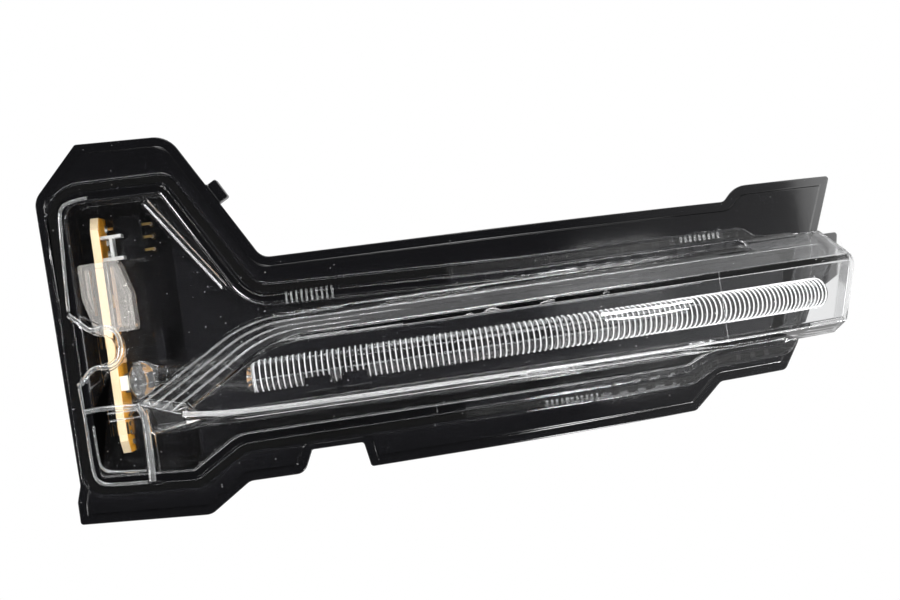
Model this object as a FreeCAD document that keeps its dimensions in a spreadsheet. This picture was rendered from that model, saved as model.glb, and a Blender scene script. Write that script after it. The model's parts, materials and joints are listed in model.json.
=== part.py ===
import FreeCAD, Part
import Sketcher
import math
import operator
import os
from types import SimpleNamespace

# Mirror turn signal light. X runs along the arm, +Y points back into the mirror, +Z is up.
# The origin lies on the rear mounting plane, midway between the two screw bosses.
# Left of X = 0 the lamp is flat; right of it every layer follows one round bend.

# Driving dimensions in millimetres and degrees. A name that ends in _x or _z is a place measured
# from the origin; a "layer" is a distance in front of the flange's front face.
SIZES = {
    # Bend and rear mounting plane
    "bend_radius": 135.0, "wrap_angle": 56.0, "seat_depth": 14.0, "stock": 130.0,
    # Flange
    "flange_thickness": 2.2, "lip_width": 2.4, "lip_drop": 0.6,
    "flange_point": 0.8, "flange_bend": 2.0, "flange_round": 4.0,
    "block_left": 97.8, "block_top": 51.0, "block_bottom": 43.9, "block_slant": 2.0,
    "corner_run": 11.7, "corner_drop": 12.2, "corner_round": 5.0,
    "toe_height": 9.6, "toe_jog": 1.2, "toe_run": 2.0,
    "slant_top": 63.1, "slant_foot": 44.4, "slant_rise": 2.1, "slant_round": 7.0, "top_fall": 1.1,
    "arm_top": 14.9, "arm_bottom": 37.8, "arm_reach": 105.5,
    "wing_length": 32.7, "wing_height": 3.6, "wing_run": 3.7, "wing_round": 7.0, "wing_root_round": 2.0,
    "end_slant": 7.0, "tab_top": 3.3, "tab_drop": 11.3, "tab_slant": 2.7, "end_step": 8.0, "end_drop": 4.0,
    "heel_length": 22.0, "heel_height": 7.6, "heel_run": 4.5, "heel_rise": 6.2,
    "chin_length": 48.0, "chin_run": 7.6, "chin_rise": 1.4,
    "gap_start": 24.9, "gap_end": 38.8, "gap_depth": 6.2, "gap_slant": 1.1, "gap_run": 2.6,
    "belly_start": 55.0, "belly_run": 10.5, "belly_rise": 0.7, "belly_round": 3.0,
    # Lens
    "lens_wall": 1.8, "foot_thickness": 2.0, "foot_width": 3.4, "lens_rise": 5.0,
    "foot_inset": 2.2, "foot_top": 42.0, "foot_top_fall": 0.8, "foot_bottom": 35.6, "foot_toe_fall": 2.0,
    "foot_slant_top": 63.4, "foot_slant_foot": 46.2, "foot_slant_rise": 2.6,
    "foot_arm_top": 8.2, "foot_arm_bottom": 29.8, "foot_crown_x": 20.0, "foot_crown_round": 60.0,
    "joggle_x": 78.0, "joggle_half": 1.8, "joggle_height": 3.0, "joggle_fall": 0.3,
    "end_fall": 0.8, "foot_end_x": 98.6, "foot_heel_x": 86.0,
    "foot_chin_x": 57.2, "foot_chin_run": 7.4, "foot_chin_rise": 3.3,
    "foot_belly_x": 54.5, "foot_belly_run": 12.0, "foot_belly_fall": 0.6,
    "foot_corner": 9.0, "foot_fillet": 6.0, "foot_bend": 4.5,
    # Lens pod
    "pod_rise": 13.5, "pod_top": 2.5, "pod_bottom": 22.0, "pod_face_top": 2.6, "pod_face_bottom": 19.7,
    "pod_shoulder": 50.0, "pod_tip_x": 79.2, "pod_tip_z": 14.2, "pod_toe_x": 76.8,
    "face_shoulder": 43.0, "face_tip_x": 68.0, "face_tip_z": 17.9, "face_toe_x": 66.6,
    "pod_bow": 30.0, "pod_nose": 1.0, "face_nose": 0.5, "cap_top_x": 97.5, "cap_reach": 105.4,
    "cap_peak_z": 4.2, "cap_heel_x": 98.4, "cap_round": 4.0, "seam_overlap": 0.4,
    # Keyhole notch and ribs of the lens
    "key_depth": 2.2, "key_z": 0.0, "key_mouth": 15.0, "key_neck": 8.0, "key_mouth_run": 5.0,
    "key_reach": 10.0, "key_round": 3.6, "rib_thickness": 1.8, "rib_height": 1.6,
    "rib_z": 15.6, "rib_x": 77.9, "rib_length": 12.0, "rib_drop": 17.0,
    "ridge_start_x": 70.7, "ridge_start_z": 33.9, "ridge_end_x": 54.6, "ridge_end_z": 10.8,
    "ridge_thickness": 1.2, "ridge_height": 1.2,
    # Housing
    "housing_wall": 2.0, "tray_depth": 6.0, "pit_depth": 15.0, "pit_right": 66.5,
    "boss_spacing": 56.0, "boss_radius": 3.6, "pilot_radius": 1.2, "pilot_depth": 4.0,
    "socket_width": 7.0, "socket_height": 14.0, "socket_depth": 13.0, "socket_wall": 1.5,
    "slot_rib": 1.4, "slot_depth": 4.0, "slot_length": 9.0, "slot_top_z": 13.0,
    "clip_width": 5.4, "clip_reach": 4.6, "clip_root": 3.4, "clip_sink": 1.2,
    "clip_height": 3.0, "clip_z": 34.6,
    "pin_block_left": 81.0, "pin_block_right": 73.8, "pin_block_top": 32.4, "pin_block_bottom": 21.0,
    "pin_block_cover": 2.0, "wedge_run": 6.0, "wedge_drop": 9.0,
    "post_x": 73.1, "post_width": 2.2, "post_front": 0.6, "post_drop": 4.9,
    "vent_radius": 1.5, "vent_x": 42.0, "vent_z": 14.0,
    "membrane_radius": 4.0, "membrane_thickness": 0.3,
    # Seal bead
    "seal_inset": 0.9, "seal_width": 1.6, "seal_depth": 0.6,
    # Light guide
    "guide_layer": 6.0, "guide_radius": 4.0, "guide_z": 11.6, "guide_start": 50.0, "guide_angle": 41.5,
    "spine_width": 5.2, "spine_inset": 1.0, "spine_root": 2.4, "spine_back": 5.2,
    "tooth_depth": 0.9, "tooth_count": 110,
    "lead_start_radius": 3.6, "lead_radius": 3.0, "lead_end": 74.0, "lead_drop": 9.0,
    "bell_overlap": 1.0, "collimator_radius": 4.7, "collimator_length": 5.6,
    "head_left": 87.0, "head_right": 77.4, "head_top": 3.2,
    "head_bottom": 21.3, "head_thickness": 1.4, "head_front": 0.6, "cheek_length": 5.0,
    "cheek_height": 3.0, "cheek_thickness": 1.2, "fin_thickness": 0.8, "fin_pitch": 2.6,
    # Guide carrier
    "carrier_layer": 0.3, "carrier_wall": 1.4, "carrier_left": 62.0, "carrier_shoulder": 46.0,
    "carrier_bottom": 21.0, "carrier_right_top": 88.0, "carrier_right_bottom": 79.5,
    "carrier_corner": 4.0, "carrier_bow": 18.0, "saddle_width": 4.0, "rail_start": 46.0, "rail_end": 84.0,
    "finger_width": 6.5, "finger_post": 1.4, "finger_nose": 2.2, "finger_front": 0.9,
    "finger_x": 37.5, "finger_pitch": 9.0,
    # Board and what it carries
    "board_x": 83.2, "board_thickness": 2.0, "board_top": 32.5, "board_bottom": 26.0,
    "board_front": 1.0, "board_chamfer": 3.0, "led_z": 8.8, "led_width": 3.5, "led_depth": 2.8,
    "led_height": 1.6, "led_well": 1.1, "led_well_depth": 0.3,
    "retainer_left": 89.4, "retainer_right": 77.2, "retainer_top": 21.4, "retainer_bottom": 3.8,
    "retainer_depth": 8.0, "retainer_wall": 1.4, "retainer_flare": 2.4, "retainer_slope": 8.5,
    "pin_x": 72.0, "pin_z": 26.6, "pin_pitch": 3.2, "pin_side": 0.64, "pin_tail": 0.8, "pin_reach": 7.0,
    "pin_rise": 2.0,
    "solder_radius": 1.1, "solder_height": 0.7,
    "clip_bar_length": 5.2, "clip_bar_thickness": 0.8, "clip_bar_gap": 4.6, "clip_bar_depth": 5.0,
    "terminal_z": 24.6, "terminal_sink": 3.2,
    "chip_z": 7.5, "chip_length": 5.0, "chip_width": 3.0, "chip_height": 1.5, "chip_sink": 10.2,
    "chip_span": 4.6, "leg_pitch": 1.27, "leg_width": 0.4, "leg_height": 0.6,
    "diode_length": 4.3, "diode_width": 2.7, "diode_height": 2.1,
    "passive_length": 2.0, "passive_width": 1.25, "resistor_height": 0.5, "capacitor_height": 1.0,
    "passive_pitch": 2.4, "passive_sink": 8.6, "capacitor_z": 3.6,
    # Clearances
    "fit_gap": 0.15, "guide_gap": 0.4,
}

PARTS_FOLDER = "parts"
RESISTOR_COUNT = 4
CAPACITOR_COUNT = 3
FRONT_VIEW = FreeCAD.Rotation(FreeCAD.Vector(1, 0, 0), 90)
SIDE_VIEW = FreeCAD.Rotation(FreeCAD.Vector(1, 1, 1), 120)
TURN_TO = {
    "x": FreeCAD.Rotation(FreeCAD.Vector(0, 1, 0), 90),
    "y": FreeCAD.Rotation(FreeCAD.Vector(1, 0, 0), -90),
    "z": FreeCAD.Rotation(),
}
DOC = FreeCAD.newDocument("mirror_turn_signal_light")


class Dim:
    """A size with its value and the sheet expression that drives it."""

    def __init__(self, value, text):
        self.value = float(value)
        self.text = text

    def join(self, other, action, sign):
        other = as_dim(other)
        return Dim(action(self.value, other.value), f"({self.text} {sign} {other.text})")

    def __add__(self, other):
        return self.join(other, operator.add, "+")

    def __sub__(self, other):
        return self.join(other, operator.sub, "-")

    def __mul__(self, other):
        return self.join(other, operator.mul, "*")

    def __truediv__(self, other):
        return self.join(other, operator.truediv, "/")

    def __neg__(self):
        return self * -1


def as_dim(number):
    """Give a plain number the form of a size."""
    return number if isinstance(number, Dim) else Dim(number, repr(float(number)))


def fill_sheet(sizes):
    """Write the driving dimensions to the sheet and give them back by name."""
    sheet = DOC.addObject("Spreadsheet::Sheet", "Sizes")
    dims = {}
    for row, (name, value) in enumerate(sizes.items(), start=1):
        sheet.set(f"A{row}", name)
        sheet.set(f"B{row}", str(value))
        sheet.setAlias(f"B{row}", name)
        dims[name] = Dim(value, f"Sizes.{name}")
    DOC.recompute()
    return SimpleNamespace(**dims)


S = fill_sheet(SIZES)
ZERO = as_dim(0)
FRONT = -S.seat_depth
BEND_Y = FRONT + S.bend_radius


def layer_y(layer):
    """Depth of a layer where the lamp is flat."""
    return FRONT - layer


def bind(item, prop, size):
    """Tie one property of an object to a size."""
    item.setExpression(prop, as_dim(size).text)


def place(item, base, rotation=FreeCAD.Rotation()):
    """Turn an object and tie its base point to three sizes."""
    item.Placement = FreeCAD.Placement(FreeCAD.Vector(), rotation)
    for axis, size in zip("xyz", base):
        bind(item, f"Placement.Base.{axis}", size)


def box(name, low, high):
    """Block between two opposite corners."""
    solid = DOC.addObject("Part::Box", name)
    place(solid, low)
    for prop, start, end in zip(("Length", "Width", "Height"), low, high):
        bind(solid, prop, as_dim(end) - start)
    return solid


def cylinder(name, radius, height, base, along="z"):
    """Round bar that starts at its base point."""
    solid = DOC.addObject("Part::Cylinder", name)
    place(solid, base, TURN_TO[along])
    bind(solid, "Radius", radius)
    bind(solid, "Height", height)
    return solid


def cone(name, radius_start, radius_end, height, base, rotation):
    """Tapered round bar that starts at its base point."""
    solid = DOC.addObject("Part::Cone", name)
    place(solid, base, rotation)
    bind(solid, "Radius1", radius_start)
    bind(solid, "Radius2", radius_end)
    bind(solid, "Height", height)
    return solid


def fuse(name, *items):
    """Join solids into one."""
    solid = DOC.addObject("Part::MultiFuse", name)
    solid.Shapes = list(items)
    solid.Refine = True
    return solid


def common(name, *items):
    """Keep what all the solids share."""
    solid = DOC.addObject("Part::MultiCommon", name)
    solid.Shapes = list(items)
    return solid


def cut(name, base, tool):
    """Take one solid away from another."""
    solid = DOC.addObject("Part::Cut", name)
    solid.Base = base
    solid.Tool = tool
    return solid


def corner_arc(before, corner, after, radius):
    """Touch points and centre of the arc that rounds a corner, and whether it turns left."""
    to_before = (before - corner).normalize()
    to_after = (after - corner).normalize()
    half = to_before.getAngle(to_after) / 2
    reach = radius / math.tan(half)
    middle = (to_before + to_after).normalize()
    turns_left = to_before.cross(to_after).z < 0
    touch_in = corner + to_before * reach
    touch_out = corner + to_after * reach
    return touch_in, touch_out, corner + middle * (radius / math.sin(half)), turns_left


def outline(name, corners, rotation=FRONT_VIEW, base=(ZERO, ZERO, ZERO)):
    """Closed sketch through corners (across, up, radius), each tied to its sizes; radius 0 stays sharp."""
    sketch = DOC.addObject("Sketcher::SketchObject", name)
    place(sketch, base, rotation)
    corners = [tuple(as_dim(size) for size in corner) for corner in corners]
    points = [FreeCAD.Vector(across.value, up.value, 0) for across, up, _ in corners]
    count = len(points)
    arcs = {}
    for i in range(count):
        if corners[i][2].value > 0:
            arcs[i] = corner_arc(points[i - 1], points[i], points[(i + 1) % count], corners[i][2].value)
    starts = [arcs[i][1] if i in arcs else points[i] for i in range(count)]
    ends = [arcs[i][0] if i in arcs else points[i] for i in range(count)]
    lines = [Part.LineSegment(starts[i], ends[(i + 1) % count]) for i in range(count)]
    sketch.addGeometry(lines, False)
    marks = [sketch.addGeometry(Part.Point(point), True) for point in points]
    rules = []
    drives = []
    for i, (across, up, radius) in enumerate(corners):
        line_in, line_out = (i - 1) % count, i
        if i in arcs:
            arc, first, last = add_arc(sketch, *arcs[i], radius.value)
            rules.append(Sketcher.Constraint("Tangent", line_in, 2, arc, first))
            rules.append(Sketcher.Constraint("Tangent", arc, last, line_out, 1))
            rules.append(Sketcher.Constraint("PointOnObject", marks[i], 1, line_in))
            rules.append(Sketcher.Constraint("PointOnObject", marks[i], 1, line_out))
            drives.append((Sketcher.Constraint("Radius", arc, radius.value), f"radius_{i}", radius))
        else:
            rules.append(Sketcher.Constraint("Coincident", line_in, 2, line_out, 1))
            rules.append(Sketcher.Constraint("Coincident", marks[i], 1, line_out, 1))
        drives.append((Sketcher.Constraint("DistanceX", marks[i], 1, across.value), f"across_{i}", across))
        drives.append((Sketcher.Constraint("DistanceY", marks[i], 1, up.value), f"up_{i}", up))
    sketch.addConstraint(rules)
    for index, (_, label, size) in zip(sketch.addConstraint([rule for rule, _, _ in drives]), drives):
        sketch.renameConstraint(index, label)
        bind(sketch, f"Constraints.{label}", size)
    return sketch


def add_arc(sketch, touch_in, touch_out, centre, turns_left, radius):
    """Add a corner's arc and say which of its ends meets the line before and the line after."""
    circle = Part.Circle(centre, FreeCAD.Vector(0, 0, 1), radius)
    begin, finish = (touch_in, touch_out) if turns_left else (touch_out, touch_in)
    angles = [math.atan2(point.y - centre.y, point.x - centre.x) for point in (begin, finish)]
    arc = sketch.addGeometry(Part.ArcOfCircle(circle, *angles), False)
    return (arc, 1, 2) if turns_left else (arc, 2, 1)


def offset(name, source, distance):
    """Outline at a distance from another one, outside where the distance is positive."""
    profile = DOC.addObject("Part::Offset2D", name)
    profile.Source = source
    profile.Join = "Intersection"
    bind(profile, "Value", distance)
    return profile


def prism(name, profile):
    """Front-view outline carried through the whole depth of the stock."""
    solid = DOC.addObject("Part::Extrusion", name)
    solid.Base = profile
    solid.DirMode = "Custom"
    solid.Dir = FreeCAD.Vector(0, 1, 0)
    bind(solid, "LengthFwd", S.stock)
    bind(solid, "LengthRev", S.stock)
    solid.Solid = True
    return solid


def band(name, outer, inner):
    """Sheet between two layers, flat left of the bend and round right of it."""
    outer, inner = as_dim(outer), as_dim(inner)
    flat = box(f"{name}_flat", (-S.stock, layer_y(outer), -S.stock), (ZERO, layer_y(inner), S.stock))
    height = S.stock * 2
    centre = (ZERO, BEND_Y, -S.stock)
    sector = cylinder(f"{name}_sector", S.bend_radius + outer, height, centre)
    sector.Placement.Rotation = FreeCAD.Rotation(FreeCAD.Vector(0, 0, 1), -90)
    bind(sector, "Angle", S.wrap_angle)
    core = cylinder(f"{name}_core", S.bend_radius + inner, height, centre)
    return fuse(name, flat, cut(f"{name}_bend", sector, core))


def layer_solid(name, profile, outer, inner):
    """Front-view outline cut out of the sheet between two layers."""
    return common(name, prism(f"{name}_prism", profile), band(f"{name}_band", outer, inner))


def flange_outline():
    """Outer edge of the black flange, clockwise from the upper left."""
    wing_root = S.arm_reach - S.wing_length
    tab_bottom = S.tab_top - S.tab_drop
    tab_x = S.arm_reach - S.tab_slant
    heel_x = S.arm_reach - S.heel_length
    heel_z = S.heel_height - S.arm_bottom
    chin_x = S.arm_reach - S.chin_length
    belly_z = S.belly_rise - S.arm_bottom
    gap_z = S.gap_depth - S.arm_bottom
    toe_z = S.toe_height - S.block_bottom
    return outline("flange_outline", [
        (-S.block_left, S.block_top - S.corner_drop, S.corner_round),
        (-S.block_left + S.corner_run, S.block_top, S.flange_point),
        (-S.slant_top, S.block_top - S.top_fall, S.slant_round),
        (-S.slant_foot, S.arm_top + S.slant_rise, S.flange_round),
        (wing_root, S.arm_top, S.wing_root_round),
        (wing_root + S.wing_run, S.arm_top + S.wing_height, S.wing_round),
        (S.arm_reach, S.arm_top + S.wing_height, S.flange_point),
        (S.arm_reach - S.end_slant, S.tab_top, S.flange_point),
        (S.arm_reach, S.tab_top, S.flange_point),
        (tab_x, tab_bottom, S.flange_point),
        (tab_x - S.end_step, tab_bottom - S.end_drop, S.flange_point),
        (heel_x + S.heel_run, heel_z + S.heel_rise, S.flange_point),
        (heel_x, heel_z, S.flange_bend),
        (chin_x + S.chin_run, heel_z, S.flange_bend),
        (chin_x, S.chin_rise - S.arm_bottom, S.flange_bend),
        (-S.gap_start, -S.arm_bottom, S.flange_point),
        (-S.gap_start - S.gap_slant, gap_z, S.flange_point),
        (-S.gap_end, gap_z, S.flange_point),
        (-S.gap_end - S.gap_run, belly_z, S.belly_round),
        (-S.belly_start, belly_z, S.belly_round),
        (-S.belly_start - S.belly_run, -S.block_bottom, S.flange_round),
        (-S.block_left, -S.block_bottom + S.block_slant, S.flange_point),
        (-S.block_left, toe_z - S.toe_run, S.flange_bend),
        (-S.block_left + S.toe_jog, toe_z + S.toe_run, S.flange_bend),
    ])


def foot_outline():
    """Outer edge of the lens foot, clockwise from the upper left."""
    left = -S.block_left + S.foot_inset
    heel_z = -S.foot_arm_bottom + S.foot_chin_rise
    end_z = S.foot_arm_top - S.joggle_height - S.end_fall
    return outline("foot_outline", [
        (left, S.foot_top, S.foot_corner),
        (-S.foot_slant_top, S.foot_top - S.foot_top_fall, S.foot_fillet),
        (-S.foot_slant_foot, S.foot_arm_top + S.foot_slant_rise, S.foot_fillet),
        (S.foot_crown_x, S.foot_arm_top, S.foot_crown_round),
        (S.joggle_x - S.joggle_half, S.foot_arm_top - S.joggle_fall, S.foot_bend),
        (S.joggle_x + S.joggle_half, S.foot_arm_top - S.joggle_height, S.foot_bend),
        (S.foot_end_x, end_z, S.foot_fillet),
        (S.foot_heel_x, heel_z, S.foot_fillet),
        (S.foot_chin_x + S.foot_chin_run, heel_z, S.foot_bend),
        (S.foot_chin_x, -S.foot_arm_bottom, S.foot_bend),
        (-S.foot_belly_x, -S.foot_arm_bottom - S.foot_belly_fall, S.foot_bend),
        (-S.foot_belly_x - S.foot_belly_run, -S.foot_bottom - S.foot_toe_fall, S.foot_fillet),
        (left, -S.foot_bottom, S.foot_fillet),
    ])


def lens_notch(name, grow, floor):
    """Keyhole notch that runs in from the lens's left wall, down to a floor layer."""
    wall_x = -S.block_left + S.foot_inset + S.foot_width
    neck = S.key_neck / 2 + grow
    mouth = S.key_mouth / 2 + grow
    round_x = wall_x + S.key_reach - S.key_round
    throat = outline(f"{name}_outline", [
        (wall_x - S.foot_width, S.key_z + mouth, 0),
        (wall_x + grow, S.key_z + mouth, 0),
        (wall_x + S.key_mouth_run + grow, S.key_z + neck, 0),
        (round_x, S.key_z + S.key_round + grow, 0),
        (round_x, S.key_z - S.key_round - grow, 0),
        (wall_x + S.key_mouth_run + grow, S.key_z - neck, 0),
        (wall_x + grow, S.key_z - mouth, 0),
        (wall_x - S.foot_width, S.key_z - mouth, 0),
    ])
    slot = layer_solid(f"{name}_throat", throat, S.pod_rise, floor)
    base = (round_x, layer_y(S.pod_rise), S.key_z)
    well = cylinder(f"{name}_well", S.key_round + grow, S.pod_rise - floor, base, "y")
    return fuse(name, slot, well)


def pod_solid(name, wall, root):
    """Curved pod of the lens, drawn in by a wall on all sides and starting at a root layer."""
    crown = S.pod_rise - wall
    slope = (S.lens_rise - root) / (S.pod_rise - S.lens_rise)
    face = [
        (ZERO, -S.pod_face_top - wall, 0),
        (-S.face_shoulder, -S.pod_face_top - wall, S.pod_bow),
        (-S.face_tip_x + wall * 2, -S.face_tip_z + wall / 2, S.face_nose),
        (-S.face_toe_x + wall * 2, -S.pod_face_bottom + wall / 2, S.face_nose),
        (ZERO, -S.pod_face_bottom + wall / 2, 0),
    ]
    at_step = [
        (ZERO, S.pod_top - wall, 0),
        (-S.pod_shoulder, S.pod_top - wall, S.pod_bow),
        (-S.pod_tip_x + wall * 2, -S.pod_tip_z, S.pod_nose),
        (-S.pod_toe_x + wall * 2, -S.pod_bottom + wall, S.pod_nose),
        (ZERO, -S.pod_bottom + wall, 0),
    ]
    at_root = [(step[0] + (step[0] - crest[0]) * slope, step[1] + (step[1] - crest[1]) * slope, step[2])
               for step, crest in zip(at_step, face)]
    left = DOC.addObject("Part::Loft", f"{name}_left")
    left.Sections = [outline(f"{name}_base", at_root, base=(ZERO, layer_y(root), ZERO)),
                     outline(f"{name}_face", face, base=(ZERO, layer_y(crown), ZERO))]
    left.Solid = True
    left.Ruled = True
    section = outline(f"{name}_section", [
        (layer_y(root), at_root[0][1], 0),
        (layer_y(crown), face[0][1], 0),
        (layer_y(crown), face[-1][1], 0),
        (layer_y(root), at_root[-1][1], 0),
    ], SIDE_VIEW)
    sweep = DOC.addObject("Part::Revolution", f"{name}_sweep")
    sweep.Source = section
    sweep.Axis = FreeCAD.Vector(0, 0, 1)
    bind(sweep, "Base.y", BEND_Y)
    bind(sweep, "Angle", S.wrap_angle)
    sweep.Solid = True
    cap = outline(f"{name}_cap", [
        (-S.lens_wall, S.pod_top + S.foot_width, 0),
        (S.cap_top_x - wall, S.pod_top + S.foot_width, 0),
        (S.cap_reach - wall, -S.cap_peak_z, S.cap_round),
        (S.cap_heel_x - wall, -S.pod_bottom - S.foot_width, S.cap_round),
        (-S.lens_wall, -S.pod_bottom - S.foot_width, 0),
    ])
    right = common(f"{name}_right", sweep, prism(f"{name}_cap_prism", cap))
    return fuse(name, left, right)


def lens_ribs():
    """Stiffening ribs on the inside of the lens step, level and upright, and the slanted ridge."""
    root = layer_y(S.lens_rise - S.lens_wall / 2)
    tip = layer_y(S.lens_rise - S.lens_wall - S.rib_height)
    level_top = -S.rib_z
    level_bottom = level_top - S.rib_thickness
    low_z = level_bottom - S.rib_drop
    level = box("rib_level", (-S.rib_x - S.rib_length, root, level_bottom), (-S.rib_x, tip, level_top))
    upright = box("rib_upright", (-S.rib_x, root, low_z), (-S.rib_x + S.rib_thickness, tip, level_top))
    ridge = DOC.addObject("Part::Box", "slanted_ridge")
    run = (S.ridge_start_x - S.ridge_end_x).value
    fall = (S.ridge_start_z - S.ridge_end_z).value
    turn = FreeCAD.Rotation(FreeCAD.Vector(0, 1, 0), math.degrees(math.atan2(fall, run)))
    place(ridge, (-S.ridge_start_x, root, S.ridge_start_z), turn)
    ridge.Length = math.hypot(run, fall)
    bind(ridge, "Width", S.lens_wall / 2 + S.ridge_height)
    bind(ridge, "Height", S.ridge_thickness)
    return [level, upright, ridge]


def guide_back():
    """Layer that stays clear behind the guide's teeth."""
    return S.guide_layer - S.spine_back - S.fit_gap


def build_lens(foot, step):
    """Clear lens: foot strip, raised step with its notch, and the pod, hollow from the back."""
    inner = offset("step_inner", foot, -S.foot_width - S.lens_wall)
    ceiling = S.lens_rise - S.lens_wall
    pod_root = S.foot_thickness - S.seam_overlap
    strip = layer_solid("lens_foot", foot, S.foot_thickness, ZERO)
    block = layer_solid("lens_step", step, S.lens_rise, ZERO)
    notch = lens_notch("notch", ZERO, S.lens_rise - S.key_depth)
    stepped = cut("lens_notched", block, notch)
    solid = fuse("lens_outside", strip, stepped, pod_solid("pod", ZERO, pod_root))
    room = layer_solid("lens_room", inner, ceiling, -S.foot_thickness)
    notch_wall = lens_notch("notch_wall", S.lens_wall, ceiling - S.key_depth)
    room = cut("lens_room_notched", room, notch_wall)
    hollow = fuse("lens_hollow", room, pod_solid("pod_room", S.lens_wall, guide_back()))
    shell = cut("lens_shell", solid, hollow)
    return fuse("outer_lens", shell, *lens_ribs())


def slanted_edge():
    """Point of the flange's slanted edge at the snap clip, and the edge's outward angle."""
    top_z = S.block_top
    fall = top_z - S.arm_top - S.slant_rise
    run = S.slant_top - S.slant_foot
    edge_x = -S.slant_top + run * ((top_z - S.clip_z) / fall)
    return edge_x, math.degrees(math.atan2(run.value, fall.value))


def snap_clip():
    """Small hook behind the slanted edge that clips into the mirror's shell."""
    edge_x, angle = slanted_edge()
    hook = DOC.addObject("Part::Box", "snap_clip")
    rotation = FreeCAD.Rotation(FreeCAD.Vector(0, 1, 0), -angle)
    place(hook, (edge_x - S.clip_root, FRONT + S.clip_sink, S.clip_z - S.clip_width), rotation)
    bind(hook, "Length", S.clip_reach + S.clip_root)
    bind(hook, "Width", S.flange_thickness + S.clip_height)
    bind(hook, "Height", S.clip_width)
    return hook


def boss_x(side):
    """Place of a screw boss, side -1 on the left and 1 on the right."""
    return S.boss_spacing * (side / 2)


def build_housing(flange, step, inner, seal):
    """Black housing: flange, arm tray, board pit, bosses, connector shroud, clip, ribs and post."""
    edge = layer_solid("flange_edge", flange, -S.lip_drop, -S.flange_thickness)
    lip = offset("lip_outline", flange, -S.lip_width)
    face = layer_solid("flange_face", lip, ZERO, -S.flange_thickness)
    tray = layer_solid("tray", step, -S.lip_drop, -S.tray_depth - S.housing_wall)
    floor_y = FRONT + S.pit_depth
    back_y = floor_y + S.housing_wall
    pit_wall_x = -S.pit_right + S.housing_wall
    pit_stock = box("pit_stock", (-S.stock, FRONT + S.lip_drop, -S.stock), (pit_wall_x, back_y, S.stock))
    pit = common("pit", prism("pit_prism", step), pit_stock)
    boss_root = FRONT + S.tray_depth + S.housing_wall / 2
    bosses = [cylinder(f"boss_{n}", S.boss_radius, -boss_root, (boss_x(side), boss_root, ZERO), "y")
              for n, side in enumerate((-1, 1))]
    half_width = S.socket_width / 2
    half_height = S.socket_height / 2
    mouth_y = back_y + S.socket_depth
    shroud_low = (-S.pin_x - half_width - S.socket_wall, floor_y, S.pin_z - half_height - S.socket_wall)
    shroud_high = (-S.pin_x + half_width + S.socket_wall, mouth_y, S.pin_z + half_height + S.socket_wall)
    shroud = box("shroud", shroud_low, shroud_high)
    solid = fuse("housing_outside", edge, face, tray, pit, shroud, snap_clip(), *bosses)
    tray_room = layer_solid("tray_room", inner, S.foot_thickness, -S.tray_depth)
    pit_room_stock = box("pit_room_stock", (-S.stock, layer_y(S.foot_thickness), -S.stock),
                         (-S.pit_right, floor_y, S.stock))
    pit_room = common("pit_room", prism("pit_room_prism", inner), pit_room_stock)
    socket = box("socket", (-S.pin_x - half_width, back_y, S.pin_z - half_height),
                 (-S.pin_x + half_width, mouth_y, S.pin_z + half_height))
    pilots = [cylinder(f"pilot_{n}", S.pilot_radius, S.pilot_depth,
                       (boss_x(side), -S.pilot_depth, ZERO), "y")
              for n, side in enumerate((-1, 1))]
    vent = cylinder("vent", S.vent_radius, S.seat_depth, (-S.vent_x, FRONT, -S.vent_z), "y")
    rooms = fuse("housing_rooms", tray_room, pit_room, socket, vent, seal, *pilots, *pin_passages())
    shell = cut("housing_shell", solid, rooms)
    inside = [pin_block(floor_y), pit_wedge(floor_y, inner), head_post(floor_y)]
    return fuse("rear_housing", shell, *board_slots(floor_y), *inside)


def pin_block(floor_y):
    """Cover on the pit floor that the level runs of the pins pass through."""
    run_y = floor_y - S.pin_rise
    low = (-S.pin_block_left, run_y - S.pin_block_cover, S.pin_block_bottom)
    high = (-S.pin_block_right, floor_y + S.housing_wall / 2, S.pin_block_top)
    channels = [pin_bars(f"channel_{n}", z, S.fit_gap)[0] for n, z in enumerate(pin_places())]
    return cut("pin_block", box("pin_block_stock", low, high), fuse("pin_channels", *channels))


def pit_wedge(floor_y, inner):
    """Slanted corner of the pit beside the pins, up to the arm's tray."""
    top_z = S.foot_top
    profile = outline("wedge_outline", [
        (-S.pit_right - S.wedge_run, top_z, 0),
        (-S.pit_right + S.housing_wall, top_z, 0),
        (-S.pit_right + S.housing_wall, S.ridge_start_z - S.wedge_drop, 0),
        (-S.pit_right, S.ridge_start_z - S.wedge_drop, 0),
        (-S.pit_right - S.wedge_run, S.ridge_start_z, 0),
    ])
    stock = box("wedge_stock", (-S.stock, FRONT + S.tray_depth, -S.stock),
                (ZERO, floor_y + S.housing_wall / 2, S.stock))
    return common("pit_wedge", prism("wedge_prism", profile), prism("wedge_room", inner), stock)


def board_slots(floor_y):
    """Pairs of ribs on the pit floor that hold the board upright."""
    left = -S.board_x - S.board_thickness - S.fit_gap
    right = -S.board_x + S.fit_gap
    low_y = floor_y - S.slot_depth
    high_y = floor_y + S.housing_wall / 2
    ribs = []
    for n, start in enumerate((-S.board_bottom, S.slot_top_z)):
        end = start + S.slot_length
        ribs.append(box(f"slot_left_{n}", (left - S.slot_rib, low_y, start), (left, high_y, end)))
        ribs.append(box(f"slot_right_{n}", (right, low_y, start), (right + S.slot_rib, high_y, end)))
    return ribs


def head_post(floor_y):
    """Post on the pit floor that steadies the guide's head."""
    low = (-S.post_x, FRONT + S.post_front, -S.post_drop)
    return box("head_post", low, (-S.post_x + S.post_width, floor_y + S.housing_wall / 2, S.head_top))


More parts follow.
